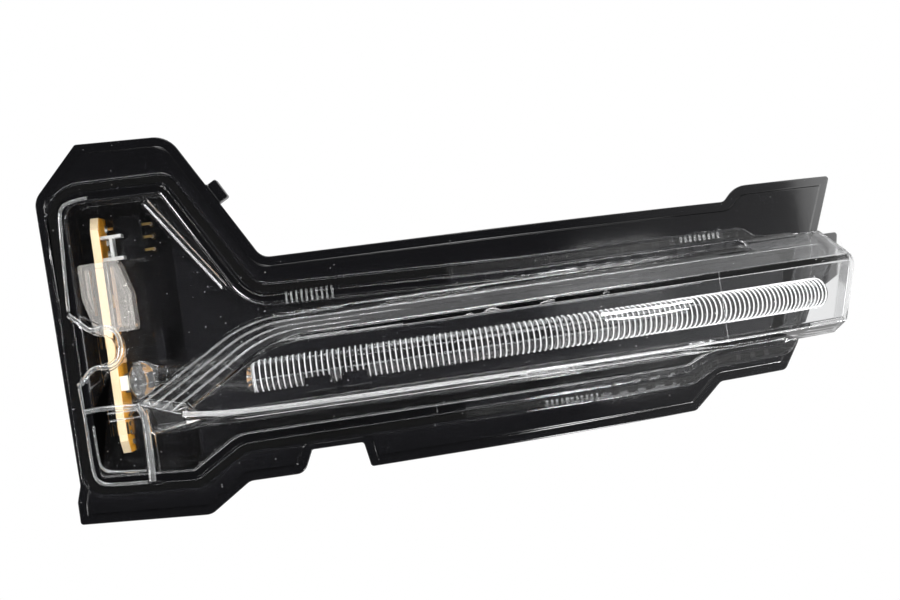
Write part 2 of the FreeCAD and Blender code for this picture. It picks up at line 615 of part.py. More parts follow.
def build_seal(foot):
    """Bead in the flange's groove under the lens foot."""
    outer = offset("seal_outer", foot, -S.seal_inset)
    inner = offset("seal_inner", foot, -S.seal_inset - S.seal_width)
    ring = layer_solid("seal_ring", outer, ZERO, -S.seal_depth)
    return cut("lens_seal", ring, prism("seal_core", inner))


def pin_places():
    """Heights of the three connector pins."""
    return [S.pin_z + S.pin_pitch * step for step in (-1, 0, 1)]


def pin_bars(name, z, gap):
    """Level and rearward runs of one bent pin, grown by a gap."""
    half = S.pin_side / 2 + gap
    run_y = FRONT + S.pit_depth - S.pin_rise
    tail_x = -S.board_x - S.board_thickness - S.pin_tail
    tip_y = FRONT + S.pit_depth + S.housing_wall + S.pin_reach
    low, high = z - half, z + half
    level = box(f"{name}_level", (tail_x, run_y - half, low), (-S.pin_x + half, run_y + half, high))
    rear = box(f"{name}_rear", (-S.pin_x - half, run_y - half, low), (-S.pin_x + half, tip_y, high))
    return level, rear


def pin_passages():
    """Holes for the pins in the pit floor."""
    return [pin_bars(f"passage_{n}", z, S.fit_gap)[1] for n, z in enumerate(pin_places())]


def group(name, items):
    """Like pieces of one node, kept as separate solids."""
    solid = DOC.addObject("Part::Compound", name)
    solid.Links = list(items)
    return solid


def build_pins():
    """Three bent pins from the board to the connector socket."""
    return group("connector_pins", [fuse(f"pin_{n}", *pin_bars(f"pin_bar_{n}", z, ZERO))
                                    for n, z in enumerate(pin_places())])


def build_solder():
    """Solder fillets round the pins on both faces of the board."""
    joints = []
    run_y = FRONT + S.pit_depth - S.pin_rise
    faces = ((-S.board_x - S.board_thickness, -90), (-S.board_x, 90))
    for n, z in enumerate(pin_places()):
        for side, (face_x, turn) in enumerate(faces):
            rotation = FreeCAD.Rotation(FreeCAD.Vector(0, 1, 0), turn)
            fillet = cone(f"fillet_{n}_{side}", S.solder_radius, S.solder_radius / 2, S.solder_height,
                          (face_x, run_y, z), rotation)
            passage = pin_bars(f"fillet_hole_{n}_{side}", z, ZERO)[0]
            joints.append(cut(f"joint_{n}_{side}", fillet, passage))
    return group("solder_joints", joints)


def plate_across(name, profile, thickness):
    """Side-view outline given a thickness along X."""
    solid = DOC.addObject("Part::Extrusion", name)
    solid.Base = profile
    solid.DirMode = "Custom"
    solid.Dir = FreeCAD.Vector(1, 0, 0)
    bind(solid, "LengthFwd", thickness)
    solid.Solid = True
    return solid


def build_board():
    """Circuit board on edge, front corners cut off, with its pin holes."""
    front_y = FRONT + S.board_front
    back_y = FRONT + S.pit_depth
    profile = outline("board_outline", [
        (front_y, -S.board_bottom + S.board_chamfer, 0),
        (front_y, S.board_top - S.board_chamfer, 0),
        (front_y + S.board_chamfer, S.board_top, 0),
        (back_y, S.board_top, 0),
        (back_y, -S.board_bottom, 0),
        (front_y + S.board_chamfer, -S.board_bottom, 0),
    ], SIDE_VIEW, (-S.board_x - S.board_thickness, ZERO, ZERO))
    plate = plate_across("board_plate", profile, S.board_thickness)
    holes = [pin_bars(f"board_hole_{n}", z, S.fit_gap)[0] for n, z in enumerate(pin_places())]
    return cut("circuit_board", plate, fuse("board_holes", *holes))


def on_board(name, z, sink, height, depth, length):
    """Block on the board's lit face, centred at a height z and a depth behind the board's front edge."""
    y = FRONT + S.board_front + sink
    low = (-S.board_x, y - depth / 2, z - length / 2)
    return box(name, low, (-S.board_x + height, y + depth / 2, z + length / 2))


def build_led():
    """Lamp chip with a round well, facing the collimator."""
    package = on_board("led_package", -S.led_z, guide_sink(), S.led_height, S.led_depth, S.led_width)
    well_x = -S.board_x + S.led_height - S.led_well_depth
    base = (well_x, FRONT + S.board_front + guide_sink(), -S.led_z)
    return cut("signal_led", package, cylinder("led_well", S.led_well, S.led_well_depth, base, "x"))


def guide_sink():
    """Depth of the collimator's axis behind the board's front edge."""
    return S.lead_drop - S.guide_layer - S.board_front


def build_chip():
    """Driver chip with its two rows of legs."""
    body = on_board("chip_body", S.chip_z, S.chip_sink, S.chip_height, S.chip_width, S.chip_length)
    legs = []
    for n in range(4):
        z = S.chip_z + S.leg_pitch * (n - 1.5)
        legs.append(on_board(f"leg_{n}", z, S.chip_sink, S.leg_height, S.chip_span, S.leg_width))
    return fuse("driver_chip", body, *legs)


def build_diode():
    """Diode beside the lamp chip."""
    height, depth, length = S.diode_height, S.diode_width, S.diode_length
    return on_board("protection_diode", -S.led_z, S.passive_sink, height, depth, length)


def build_row(name, count, start_z, sink, height):
    """Row of small two-ended parts along the board."""
    pieces = []
    for n in range(count):
        z = start_z + S.passive_pitch * n
        pieces.append(on_board(f"{name}_{n}", z, sink, height, S.passive_length, S.passive_width))
    return group(name, pieces)


def build_terminal():
    """Tinned clip of H form that stands on the board's lit face."""
    y = FRONT + S.board_front + S.terminal_sink
    bars = []
    for n, side in enumerate((-1, 1)):
        middle = S.terminal_z + (S.clip_bar_gap + S.clip_bar_thickness) * (side / 2)
        low = (-S.board_x, y - S.clip_bar_depth / 2, middle - S.clip_bar_thickness / 2)
        high = (-S.board_x + S.clip_bar_length, y + S.clip_bar_depth / 2, middle + S.clip_bar_thickness / 2)
        bars.append(box(f"clip_bar_{n}", low, high))
    web_x = -S.board_x + S.clip_bar_length / 2
    half = S.clip_bar_thickness / 2
    web_half = S.clip_bar_gap / 2 + half
    web = box("clip_web", (web_x - half, y - S.clip_bar_depth / 2, S.terminal_z - web_half),
              (web_x + half, y + S.clip_bar_depth / 2, S.terminal_z + web_half))
    return fuse("terminal_clip", web, *bars)


def build_retainer():
    """Milky channel clip over the board's front edge, with two gripping ribs inside."""
    profile = outline("retainer_outline", [
        (-S.retainer_left, S.retainer_top, 1),
        (-S.retainer_right - S.retainer_flare, S.retainer_top, 1),
        (-S.retainer_right, S.retainer_top - S.retainer_slope, 1),
        (-S.retainer_right, S.retainer_bottom, 1),
        (-S.retainer_left + S.retainer_flare, S.retainer_bottom, 1),
        (-S.retainer_left, S.retainer_top - S.retainer_slope, 1),
    ])
    front_y = layer_y(S.head_front)
    back_y = FRONT + S.retainer_depth
    block = common("retainer_block", prism("retainer_prism", profile),
                   box("retainer_stock", (-S.stock, front_y, -S.stock), (ZERO, back_y, S.stock)))
    inner = offset("retainer_inner", profile, -S.retainer_wall)
    room_y = front_y + S.retainer_wall
    room = common("retainer_room", prism("retainer_room_prism", inner),
                  box("retainer_room_stock", (-S.stock, room_y, -S.stock), (ZERO, back_y, S.stock)))
    left = -S.board_x - S.board_thickness - S.fit_gap
    right = -S.board_x + S.fit_gap
    low_z = S.retainer_bottom + S.retainer_wall / 2
    high_z = S.retainer_top - S.retainer_wall / 2
    grips = [
        box("grip_left", (left - S.retainer_wall, front_y + S.fit_gap, low_z), (left, back_y, high_z)),
        box("grip_right", (right, front_y + S.fit_gap, low_z), (right + S.retainer_wall, back_y, high_z)),
    ]
    shell = fuse("retainer_shell", cut("retainer_open", block, room), *grips)
    slot_y = FRONT + S.board_front - S.fit_gap
    slot = box("retainer_slot", (left, slot_y, S.retainer_bottom - S.retainer_wall),
               (right, back_y, S.retainer_top + S.retainer_wall))
    return cut("board_retainer", shell, slot)


def plan_point(run, layer):
    """Point of a layer at a run along the guide's axis, with the bend's start at run 0."""
    if run <= 0:
        return FreeCAD.Vector(run, FRONT.value - layer, 0)
    angle = run / (S.bend_radius.value + S.guide_layer.value)
    radius = S.bend_radius.value + layer
    return FreeCAD.Vector(radius * math.sin(angle), BEND_Y.value - radius * math.cos(angle), 0)


def guide_spine():
    """Toothed strip along the back of the rod: each tooth throws light out through the front."""
    root = (S.guide_layer - S.spine_root).value
    tip = (S.guide_layer - S.spine_back).value
    valley = tip + S.tooth_depth.value
    bend_run = math.radians(S.guide_angle.value) * (S.bend_radius + S.guide_layer).value
    start = S.spine_inset.value - S.guide_start.value
    count = round(S.tooth_count.value)
    pitch = (bend_run - start) / count
    stations = [start + pitch * n for n in range(count + 1)]
    front = [plan_point(run, root) for run in stations]
    back = []
    for run in stations[:-1]:
        back.append(plan_point(run, valley))
        back.append(plan_point(run + pitch / 2, tip))
    back.append(plan_point(stations[-1], valley))
    wire = Part.makePolygon(front + back[::-1] + front[:1])
    strip = DOC.addObject("Part::Feature", "guide_spine")
    strip.Shape = Part.Face(wire).extrude(FreeCAD.Vector(0, 0, S.spine_width.value))
    place(strip, (ZERO, ZERO, -S.guide_z - S.spine_width / 2))
    return strip


def lead_axis():
    """Start and end of the smooth lead-in, from the toothed rod back to the collimator."""
    start = (-S.guide_start, layer_y(S.guide_layer), -S.guide_z)
    end = (-S.lead_end, layer_y(S.guide_layer) + S.lead_drop, -S.led_z)
    return start, end


def lead_cone(name, gap):
    """Tapered lead-in of the guide, grown by a gap."""
    start, end = lead_axis()
    run = FreeCAD.Vector(*[(b - a).value for a, b in zip(start, end)])
    rotation = FreeCAD.Rotation(FreeCAD.Vector(0, 0, 1), run)
    return cone(name, S.lead_start_radius + gap, S.lead_radius + gap, run.Length, start, rotation)


def guide_head():
    """Clear plate in front of the board, with cheeks astride its edge and fins towards the post."""
    front_y = layer_y(S.head_front)
    back_y = front_y + S.head_thickness
    plate = box("head_plate", (-S.head_left, front_y, -S.head_bottom), (-S.head_right, back_y, S.head_top))
    left = -S.board_x - S.board_thickness - S.fit_gap
    right = -S.board_x + S.fit_gap
    cheek_y = front_y + S.head_thickness / 2
    pieces = [plate]
    for n, bottom in enumerate((-S.head_bottom, S.head_top - S.cheek_height)):
        top = bottom + S.cheek_height
        high_y = back_y + S.cheek_length
        for side, low_x in (("left", left - S.cheek_thickness), ("right", right)):
            high = (low_x + S.cheek_thickness, high_y, top)
            pieces.append(box(f"cheek_{side}_{n}", (low_x, cheek_y, bottom), high))
    for n in range(3):
        top = S.head_top - S.fin_thickness - S.fin_pitch * n
        low = (-S.head_right - S.fin_thickness, front_y, top - S.fin_thickness)
        pieces.append(box(f"fin_{n}", low, (-S.post_x - S.fit_gap, back_y + S.fin_thickness, top)))
    return pieces


def build_guide():
    """Clear light guide: toothed rod round the bend, lead-in, collimator and head."""
    start, end = lead_axis()
    arc = DOC.addObject("Part::Torus", "guide_arc")
    place(arc, (ZERO, BEND_Y, -S.guide_z), FreeCAD.Rotation(FreeCAD.Vector(0, 0, 1), -90))
    bind(arc, "Radius1", S.bend_radius + S.guide_layer)
    bind(arc, "Radius2", S.guide_radius)
    bind(arc, "Angle3", S.guide_angle)
    rod = cylinder("guide_rod", S.guide_radius, S.guide_start, start, "x")
    to_board = FreeCAD.Rotation(FreeCAD.Vector(0, 1, 0), -90)
    bell_root = (end[0] + S.bell_overlap, end[1], end[2])
    bell_length = S.collimator_length + S.bell_overlap
    bell = cone("collimator", S.lead_radius, S.collimator_radius, bell_length, bell_root, to_board)
    return fuse("light_guide", arc, rod, guide_spine(), lead_cone("lead_in", ZERO), bell, *guide_head())


def guide_fingers():
    """Two hooks below the guide whose noses reach over its front."""
    hooks = []
    front = S.guide_layer + S.guide_radius + S.fit_gap
    post_top = -S.guide_z - S.guide_radius - S.fit_gap
    post_bottom = post_top - S.finger_post
    for n in range(2):
        left = -S.finger_x + S.finger_pitch * n
        right = left + S.finger_width
        post_front = layer_y(front + S.finger_front)
        post = box(f"finger_post_{n}", (left, post_front, post_bottom), (right, layer_y(ZERO), post_top))
        nose = box(f"finger_nose_{n}", (left, post_front, post_bottom),
                   (right, layer_y(front), post_top + S.finger_nose))
        hooks += [post, nose]
    return hooks


def build_carrier():
    """Black bezel behind the guide: a skirted plate with a rail under the teeth and two fingers."""
    tray_top = S.foot_arm_top - S.joggle_height - S.end_fall - S.foot_width - S.housing_wall
    top = tray_top - S.fit_gap
    profile = outline("carrier_outline", [
        (-S.carrier_shoulder, top, S.carrier_bow),
        (-S.carrier_left, -S.guide_z - S.guide_radius, S.carrier_corner),
        (-S.carrier_left, -S.carrier_bottom, S.carrier_corner / 2),
        (S.carrier_right_bottom, -S.carrier_bottom, S.carrier_corner),
        (S.carrier_right_top, top, S.carrier_corner),
    ])
    block = layer_solid("carrier_block", profile, S.carrier_layer, -S.tray_depth)
    inner = offset("carrier_inner", profile, -S.carrier_wall)
    ceiling = S.carrier_layer - S.carrier_wall
    room = layer_solid("carrier_room", inner, ceiling, -S.tray_depth - S.housing_wall)
    rail_half = S.saddle_width / 2
    rail_outline = outline("rail_outline", [
        (-S.rail_start, -S.guide_z + rail_half, 0),
        (S.rail_end, -S.guide_z + rail_half, 0),
        (S.rail_end, -S.guide_z - rail_half, 0),
        (-S.rail_start, -S.guide_z - rail_half, 0),
    ])
    rail = layer_solid("carrier_rail", rail_outline, guide_back(), -S.carrier_layer)
    shell = fuse("carrier_shell", cut("carrier_skirt", block, room), rail, *guide_fingers())
    return cut("guide_carrier", shell, lead_cone("carrier_channel", S.guide_gap))


def build_membrane():
    """Breather patch over the vent hole at the back."""
    back_y = FRONT + S.tray_depth + S.housing_wall
    return cylinder("vent_membrane", S.membrane_radius, S.membrane_thickness,
                    (-S.vent_x, back_y, -S.vent_z), "y")


def check(nodes):
    """Stop if an object failed or a node's shape is empty or invalid."""
    for item in DOC.Objects:
        if {"Invalid", "Error"} & set(item.State):
            raise RuntimeError(f"{item.Name} failed: {item.State}")
    for node in nodes:
        if node.Shape.isNull() or not node.Shape.isValid() or not node.Shape.Solids:
            raise RuntimeError(f"{node.Label} has no valid solid")


def build():
    """Make every node of the lamp."""
    foot = foot_outline()
    step = offset("step_outline", foot, -S.foot_width)
    inner = offset("tray_inner", foot, -S.foot_width - S.housing_wall)
    seal = build_seal(foot)
    bottom_row = -S.board_bottom + S.passive_pitch
    return [
        build_housing(flange_outline(), step, inner, seal),
        build_lens(foot, step),
        seal,
        build_guide(),
        build_carrier(),
        build_board(),
        build_led(),
        build_chip(),
        build_row("chip_resistors", RESISTOR_COUNT, bottom_row, S.passive_sink, S.resistor_height),
        build_row("chip_capacitors", CAPACITOR_COUNT, -S.capacitor_z, S.passive_sink, S.capacitor_height),
        build_diode(),
        build_terminal(),
        build_retainer(),
        build_pins(),
        build_solder(),
        build_membrane(),
    ]


NODES = build()
DOC.recompute()
check(NODES)
os.makedirs(PARTS_FOLDER, exist_ok=True)
for node in NODES:
    node.Shape.exportStep(os.path.join(PARTS_FOLDER, f"{node.Label}.step"))
    print(node.Label, len(node.Shape.Solids), round(node.Shape.Volume, 1))
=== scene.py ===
"""Looks of a mirror turn signal light: black housing, clear stepped lens, toothed light guide and board."""
import json
import logging
import math
from dataclasses import dataclass
from enum import Enum

import bpy
from mathutils import Matrix, Vector


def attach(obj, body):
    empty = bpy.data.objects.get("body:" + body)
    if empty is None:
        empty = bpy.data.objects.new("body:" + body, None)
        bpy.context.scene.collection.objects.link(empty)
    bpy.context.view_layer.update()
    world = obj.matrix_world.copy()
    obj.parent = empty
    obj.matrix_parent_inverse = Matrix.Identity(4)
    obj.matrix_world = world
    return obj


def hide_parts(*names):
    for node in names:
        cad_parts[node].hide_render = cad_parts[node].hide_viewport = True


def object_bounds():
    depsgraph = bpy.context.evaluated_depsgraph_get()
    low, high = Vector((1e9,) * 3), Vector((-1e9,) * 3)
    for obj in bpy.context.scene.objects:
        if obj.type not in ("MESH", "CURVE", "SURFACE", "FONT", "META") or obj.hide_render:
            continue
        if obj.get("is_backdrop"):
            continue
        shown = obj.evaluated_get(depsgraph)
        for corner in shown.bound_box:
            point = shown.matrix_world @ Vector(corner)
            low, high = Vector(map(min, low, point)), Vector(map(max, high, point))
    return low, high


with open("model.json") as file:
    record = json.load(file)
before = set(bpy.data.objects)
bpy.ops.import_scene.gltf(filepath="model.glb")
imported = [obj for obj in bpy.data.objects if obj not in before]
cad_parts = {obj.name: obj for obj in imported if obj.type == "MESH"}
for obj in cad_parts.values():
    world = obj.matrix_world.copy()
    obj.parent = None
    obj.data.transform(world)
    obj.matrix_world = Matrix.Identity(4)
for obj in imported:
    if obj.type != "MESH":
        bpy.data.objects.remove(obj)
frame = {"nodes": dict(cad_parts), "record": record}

LOG = logging.getLogger("mirror_lamp")
MM = 0.001
BODY = "root"
QUARTER_TURN = math.pi / 2
WHITE = (1.0, 1.0, 1.0, 1.0)
Colour = tuple[float, float, float, float]
Outline = tuple[tuple[float, float], ...]

# How the copies of the solids are welded and rounded
WELD = 0.002 * MM
FLAT_ANGLE = math.radians(0.6)
EDGE_ANGLE = math.radians(30)
EDGE_SEGMENTS = 2
EVEN_WEIGHT = 90
SMOOTH_ANGLE = math.radians(35)


class Slot(Enum):
    """Material slots of the record."""

    HOUSING = "black_housing"
    LENS = "clear_lens"
    SEAL = "seal_bead"
    GUIDE = "clear_guide"
    BEZEL = "black_bezel"
    BOARD = "board_laminate"
    LED = "led_package"
    CHIP = "chip_black"
    CERAMIC = "ceramic_tan"
    TIN = "tinned_metal"
    MILKY = "milky_plastic"
    PIN = "pin_brass"
    FILM = "vent_film"


class Extra(Enum):
    """Finishes that share a slot with another one."""

    RING_CREST = "ring_crest"
    LENS_BEAD = "lens_bead"
    COLLIMATOR = "collimator"
    RIDGE = "ridge"


class GuideFace(Enum):
    """Places of the light guide's finishes among its materials."""

    CLEAR = 0
    CREST = 1
    BALL = 2


class LampUse(Enum):
    """What a lamp does: it lights and shows in gloss, only shows in gloss, or only lights."""

    PLAIN = "plain"
    MIRRORED = "mirrored"
    FILL = "fill"


class NodeCanvas:
    """Small helper that adds and links the nodes of one tree."""

    def __init__(self, tree: bpy.types.NodeTree) -> None:
        """Keep the tree that is drawn on."""
        self.tree = tree

    def add(self, kind: str, **settings: object) -> bpy.types.Node:
        """Add a node.

        Args:
            kind: Node type.
            settings: Attributes, or input values where the name is an input.

        Returns:
            The new node.
        """
        node = self.tree.nodes.new(kind)
        for name, value in settings.items():
            if hasattr(node, name):
                setattr(node, name, value)
            else:
                node.inputs[name].default_value = value
        return node

    def link(self, source: bpy.types.NodeSocket, target: bpy.types.NodeSocket) -> None:
        """Join two sockets."""
        self.tree.links.new(source, target)

    def feed(self, target: bpy.types.NodeSocket, value: object) -> None:
        """Give an input its source or its plain value.

        Args:
            target: The input.
            value: Socket, number or colour.
        """
        if isinstance(value, bpy.types.NodeSocket):
            self.link(value, target)
        else:
            target.default_value = value

    def maths(self, operation: str, first: object, second: object = 0.0) -> bpy.types.NodeSocket:
        """Add a sum, product or comparison of two values.

        Args:
            operation: Kind of maths node.
            first: Socket or number.
            second: Socket or number.

        Returns:
            The result's socket.
        """
        node = self.add("ShaderNodeMath", operation=operation)
        for socket, value in zip(node.inputs, (first, second)):
            self.feed(socket, value)
        return node.outputs["Value"]

    def blend(self, mask: bpy.types.NodeSocket, low: object, high: object) -> bpy.types.NodeSocket:
        """Mix two colours by a mask.

        Args:
            mask: Socket from 0 to 1.
            low: Colour or socket at 0.
            high: Colour or socket at 1.

        Returns:
            The mixed colour's socket.
        """
        node = self.add("ShaderNodeMix", data_type="RGBA")
        inputs = {socket.identifier: socket for socket in node.inputs}
        for name, value in (("Factor_Float", mask), ("A_Color", low), ("B_Color", high)):
            self.feed(inputs[name], value)
        outputs = {socket.identifier: socket for socket in node.outputs}
        return outputs["Result_Color"]

    def ramp(self, value: bpy.types.NodeSocket, start: float, end: float, low: float = 0.0,
             high: float = 1.0) -> bpy.types.NodeSocket:
        """Fade smoothly from one level to another.

        Args:
            value: Socket that the fade follows.
            start: Value where the fade starts.
            end: Value where it ends.
            low: Level at the start.
            high: Level at the end.

        Returns:
            The level's socket.
        """
        node = self.add("ShaderNodeMapRange", interpolation_type="SMOOTHSTEP")
        self.link(value, node.inputs["Value"])
        for name, number in (("From Min", start), ("From Max", end), ("To Min", low), ("To Max", high)):
            node.inputs[name].default_value = number
        return node.outputs["Result"]


class SharedEffects:
    """Shader node groups that several finishes use."""

    SPECK_SCALE = 1000.0
    SPECK_DENSITY = 0.06
    SPECK_SIZE = 0.14
    SMUDGE_SCALE = 60.0
    SMUDGE_DETAIL = 3.0
    FLOW_ALONG = 8.0
    FLOW_ACROSS = 160.0
    FLOW_DETAIL = 2.0

    def __init__(self) -> None:
        """Build each group once."""
        self.dust = self._dust()
        self.ripple = self._ripple()

    @staticmethod
    def _group(name: str, inputs: dict[str, float],
               outputs: list[str]) -> tuple[bpy.types.NodeTree, NodeCanvas]:
        """Start a group with value sockets.

        Args:
            name: Name of the group.
            inputs: Input names with their usual values.
            outputs: Output names.

        Returns:
            The group and a canvas on it.
        """
        tree = bpy.data.node_groups.new(name, "ShaderNodeTree")
        for label, value in inputs.items():
            socket = tree.interface.new_socket(label, in_out="INPUT", socket_type="NodeSocketFloat")
            socket.default_value = value
        for label in outputs:
            tree.interface.new_socket(label, in_out="OUTPUT", socket_type="NodeSocketFloat")
        return tree, NodeCanvas(tree)

    def _dust(self) -> bpy.types.NodeTree:
        """Make scattered specks and a soft smudge, as masks.

        Returns:
            The group.
        """
        inputs = {"Scale": self.SPECK_SCALE, "Density": self.SPECK_DENSITY, "Size": self.SPECK_SIZE}
        tree, canvas = self._group("dust", inputs, ["Specks", "Smudge"])
        source = canvas.add("NodeGroupInput")
        sink = canvas.add("NodeGroupOutput")
        place = canvas.add("ShaderNodeTexCoord")
        cells = canvas.add("ShaderNodeTexVoronoi")
        canvas.link(place.outputs["Object"], cells.inputs["Vector"])
        canvas.link(source.outputs["Scale"], cells.inputs["Scale"])
        tone = canvas.add("ShaderNodeSeparateColor")
        canvas.link(cells.outputs["Color"], tone.inputs["Color"])
        chosen = canvas.maths("LESS_THAN", tone.outputs["Red"], source.outputs["Density"])
        radius = canvas.maths("MULTIPLY", source.outputs["Size"], tone.outputs["Green"])
        near = canvas.maths("LESS_THAN", cells.outputs["Distance"], radius)
        canvas.link(canvas.maths("MULTIPLY", chosen, near), sink.inputs["Specks"])
        cloud = canvas.add("ShaderNodeTexNoise", Scale=self.SMUDGE_SCALE, Detail=self.SMUDGE_DETAIL)
        canvas.link(place.outputs["Object"], cloud.inputs["Vector"])
        canvas.link(cloud.outputs["Fac"], sink.inputs["Smudge"])
        return tree

    def _ripple(self) -> bpy.types.NodeTree:
        """Make faint flow lines along the moulding, as a height.

        Returns:
            The group.
        """
        inputs = {"Along": self.FLOW_ALONG, "Across": self.FLOW_ACROSS}
        tree, canvas = self._group("ripple", inputs, ["Height"])
        source = canvas.add("NodeGroupInput")
        sink = canvas.add("NodeGroupOutput")
        place = canvas.add("ShaderNodeTexCoord")
        scale = canvas.add("ShaderNodeCombineXYZ")
        canvas.link(source.outputs["Along"], scale.inputs["X"])
        canvas.link(source.outputs["Across"], scale.inputs["Y"])
        canvas.link(source.outputs["Across"], scale.inputs["Z"])
        stretch = canvas.add("ShaderNodeVectorMath", operation="MULTIPLY")
        for socket, value in zip(stretch.inputs, (place.outputs["Object"], scale.outputs["Vector"])):
            canvas.link(value, socket)
        cloud = canvas.add("ShaderNodeTexNoise", Scale=1.0, Detail=self.FLOW_DETAIL)
        canvas.link(stretch.outputs["Vector"], cloud.inputs["Vector"])
        canvas.link(cloud.outputs["Fac"], sink.inputs["Height"])
        return tree


EFFECTS = SharedEffects()


def new_material(name: str) -> tuple[bpy.types.Material, NodeCanvas, bpy.types.Node]:
    """Start a material with one principled shader.

    Args:
        name: Name of the material.

    Returns:
        The material, a canvas on its tree and its shader.
    """
    material = bpy.data.materials.new(name)
    material.use_nodes = True
    material.node_tree.nodes.clear()
    canvas = NodeCanvas(material.node_tree)
    shader = canvas.add("ShaderNodeBsdfPrincipled")
    output = canvas.add("ShaderNodeOutputMaterial")
    canvas.link(shader.outputs["BSDF"], output.inputs["Surface"])
    return material, canvas, shader


def place_group(canvas: NodeCanvas, tree: bpy.types.NodeTree, **values: float) -> bpy.types.Node:
    """Place a shared effect in a material.

    Args:
        canvas: Canvas of the material.
        tree: The effect's group.
        values: Values of its inputs.

    Returns:
        The group node.
    """
    node = canvas.add("ShaderNodeGroup", node_tree=tree)
    for name, value in values.items():
        node.inputs[name].default_value = value
    return node


def dimmed(colour: Colour, share: float) -> Colour:
    """Give a darker tone of a colour.

    Args:
        colour: The colour.
        share: Share of its brightness that is left.

    Returns:
        The darker tone, with full alpha.
    """
    red, green, blue, _ = colour
    return share * red, share * green, share * blue, 1.0


@dataclass(frozen=True)
class MouldedPlastic:
    """Opaque moulded plastic with dust and faint flow lines."""

    name: str
    colour: Colour
    roughness: float
    dust_colour: Colour = (0.36, 0.36, 0.37, 1.0)
    dust_density: float = 0.11
    smudge: float = 0.08
    grain: float = 0.05
    grain_depth: float = 0.0004
    grain_along: float = 60.0
    grain_across: float = 220.0

    def make(self) -> bpy.types.Material:
        """Build the material.

        Returns:
            The finished material.
        """
        material, canvas, shader = new_material(self.name)
        dust = place_group(canvas, EFFECTS.dust, Density=self.dust_density)
        tone = canvas.blend(dust.outputs["Specks"], self.colour, self.dust_colour)
        canvas.link(tone, shader.inputs["Base Color"])
        spread = canvas.maths("MULTIPLY", dust.outputs["Smudge"], self.smudge)
        canvas.link(canvas.maths("ADD", spread, self.roughness), shader.inputs["Roughness"])
        ripple = place_group(canvas, EFFECTS.ripple, Along=self.grain_along, Across=self.grain_across)
        bump = canvas.add("ShaderNodeBump", Strength=self.grain, Distance=self.grain_depth)
        canvas.link(ripple.outputs["Height"], bump.inputs["Height"])
        canvas.link(bump.outputs["Normal"], shader.inputs["Normal"])
        return material


@dataclass(frozen=True)
class ClearMoulding:
    """Clear or milky see-through plastic that lets the lamps' light into the housing."""

    name: str
    colour: Colour
    roughness: float
    clearness: float = 1.0
    bend: float = 1.49
    ripple: float = 0.02
    ripple_depth: float = 0.0003
    dust_density: float = 0.05
    dust_roughness: float = 0.5
    haze: float = 0.0
    haze_start: float = 0.090
    haze_end: float = 0.104

    def make(self) -> bpy.types.Material:
        """Build the material.

        Returns:
            The finished material.
        """
        material, canvas, shader = new_material(self.name)
        shader.inputs["Base Color"].default_value = self.colour
        shader.inputs["Transmission Weight"].default_value = self.clearness
        shader.inputs["IOR"].default_value = self.bend
        dust = place_group(canvas, EFFECTS.dust, Density=self.dust_density)
        specks = canvas.maths("MULTIPLY", dust.outputs["Specks"], self.dust_roughness)
        matt = canvas.maths("ADD", specks, self.roughness)
        if self.haze:
            matt = canvas.maths("ADD", matt, self._end_haze(canvas))
        canvas.link(matt, shader.inputs["Roughness"])
        flow = place_group(canvas, EFFECTS.ripple)
        bump = canvas.add("ShaderNodeBump", Strength=self.ripple, Distance=self.ripple_depth)
        canvas.link(flow.outputs["Height"], bump.inputs["Height"])
        canvas.link(bump.outputs["Normal"], shader.inputs["Normal"])
        self._let_light_in(material, canvas, shader)
        return material

    def _end_haze(self, canvas: NodeCanvas) -> bpy.types.NodeSocket:
        """Frost the plastic towards the curved end of the lens.

        Args:
            canvas: Canvas of the material.

        Returns:
            Roughness that the frosting adds.
        """
        place = canvas.add("ShaderNodeTexCoord")
        split = canvas.add("ShaderNodeSeparateXYZ")
        canvas.link(place.outputs["Object"], split.inputs["Vector"])
        frost = canvas.ramp(split.outputs["X"], self.haze_start, self.haze_end)
        return canvas.maths("MULTIPLY", frost, self.haze)

    @staticmethod
    def _let_light_in(material: bpy.types.Material, canvas: NodeCanvas, shader: bpy.types.Node) -> None:
        """Let the lamps shine through to what lies behind.

        Args:
            material: The clear material.
            canvas: Canvas on its tree.
            shader: Its principled shader.
        """
        path = canvas.add("ShaderNodeLightPath")
        clear = canvas.add("ShaderNodeBsdfTransparent")
        mix = canvas.add("ShaderNodeMixShader")
        sources = (path.outputs["Is Shadow Ray"], shader.outputs["BSDF"], clear.outputs["BSDF"])
        for socket, source in zip(mix.inputs, sources):
            canvas.link(source, socket)
        output = material.node_tree.get_output_node("ALL")
        canvas.link(mix.outputs["Shader"], output.inputs["Surface"])


@dataclass(frozen=True)
class PlatedMetal:
    """Plated metal with a cloudy tone."""

    name: str
    colour: Colour
    roughness: float
    dull_share: float = 0.7
    dull_roughness: float = 0.2

    def make(self) -> bpy.types.Material:
        """Build the material.

        Returns:
            The finished material.
        """
        material, canvas, shader = new_material(self.name)
        shader.inputs["Metallic"].default_value = 1.0
        cloud = place_group(canvas, EFFECTS.dust).outputs["Smudge"]
        tone = canvas.blend(cloud, self.colour, dimmed(self.colour, self.dull_share))
        canvas.link(tone, shader.inputs["Base Color"])
        spread = canvas.maths("MULTIPLY", cloud, self.dull_roughness)
        canvas.link(canvas.maths("ADD", spread, self.roughness), shader.inputs["Roughness"])
        return material


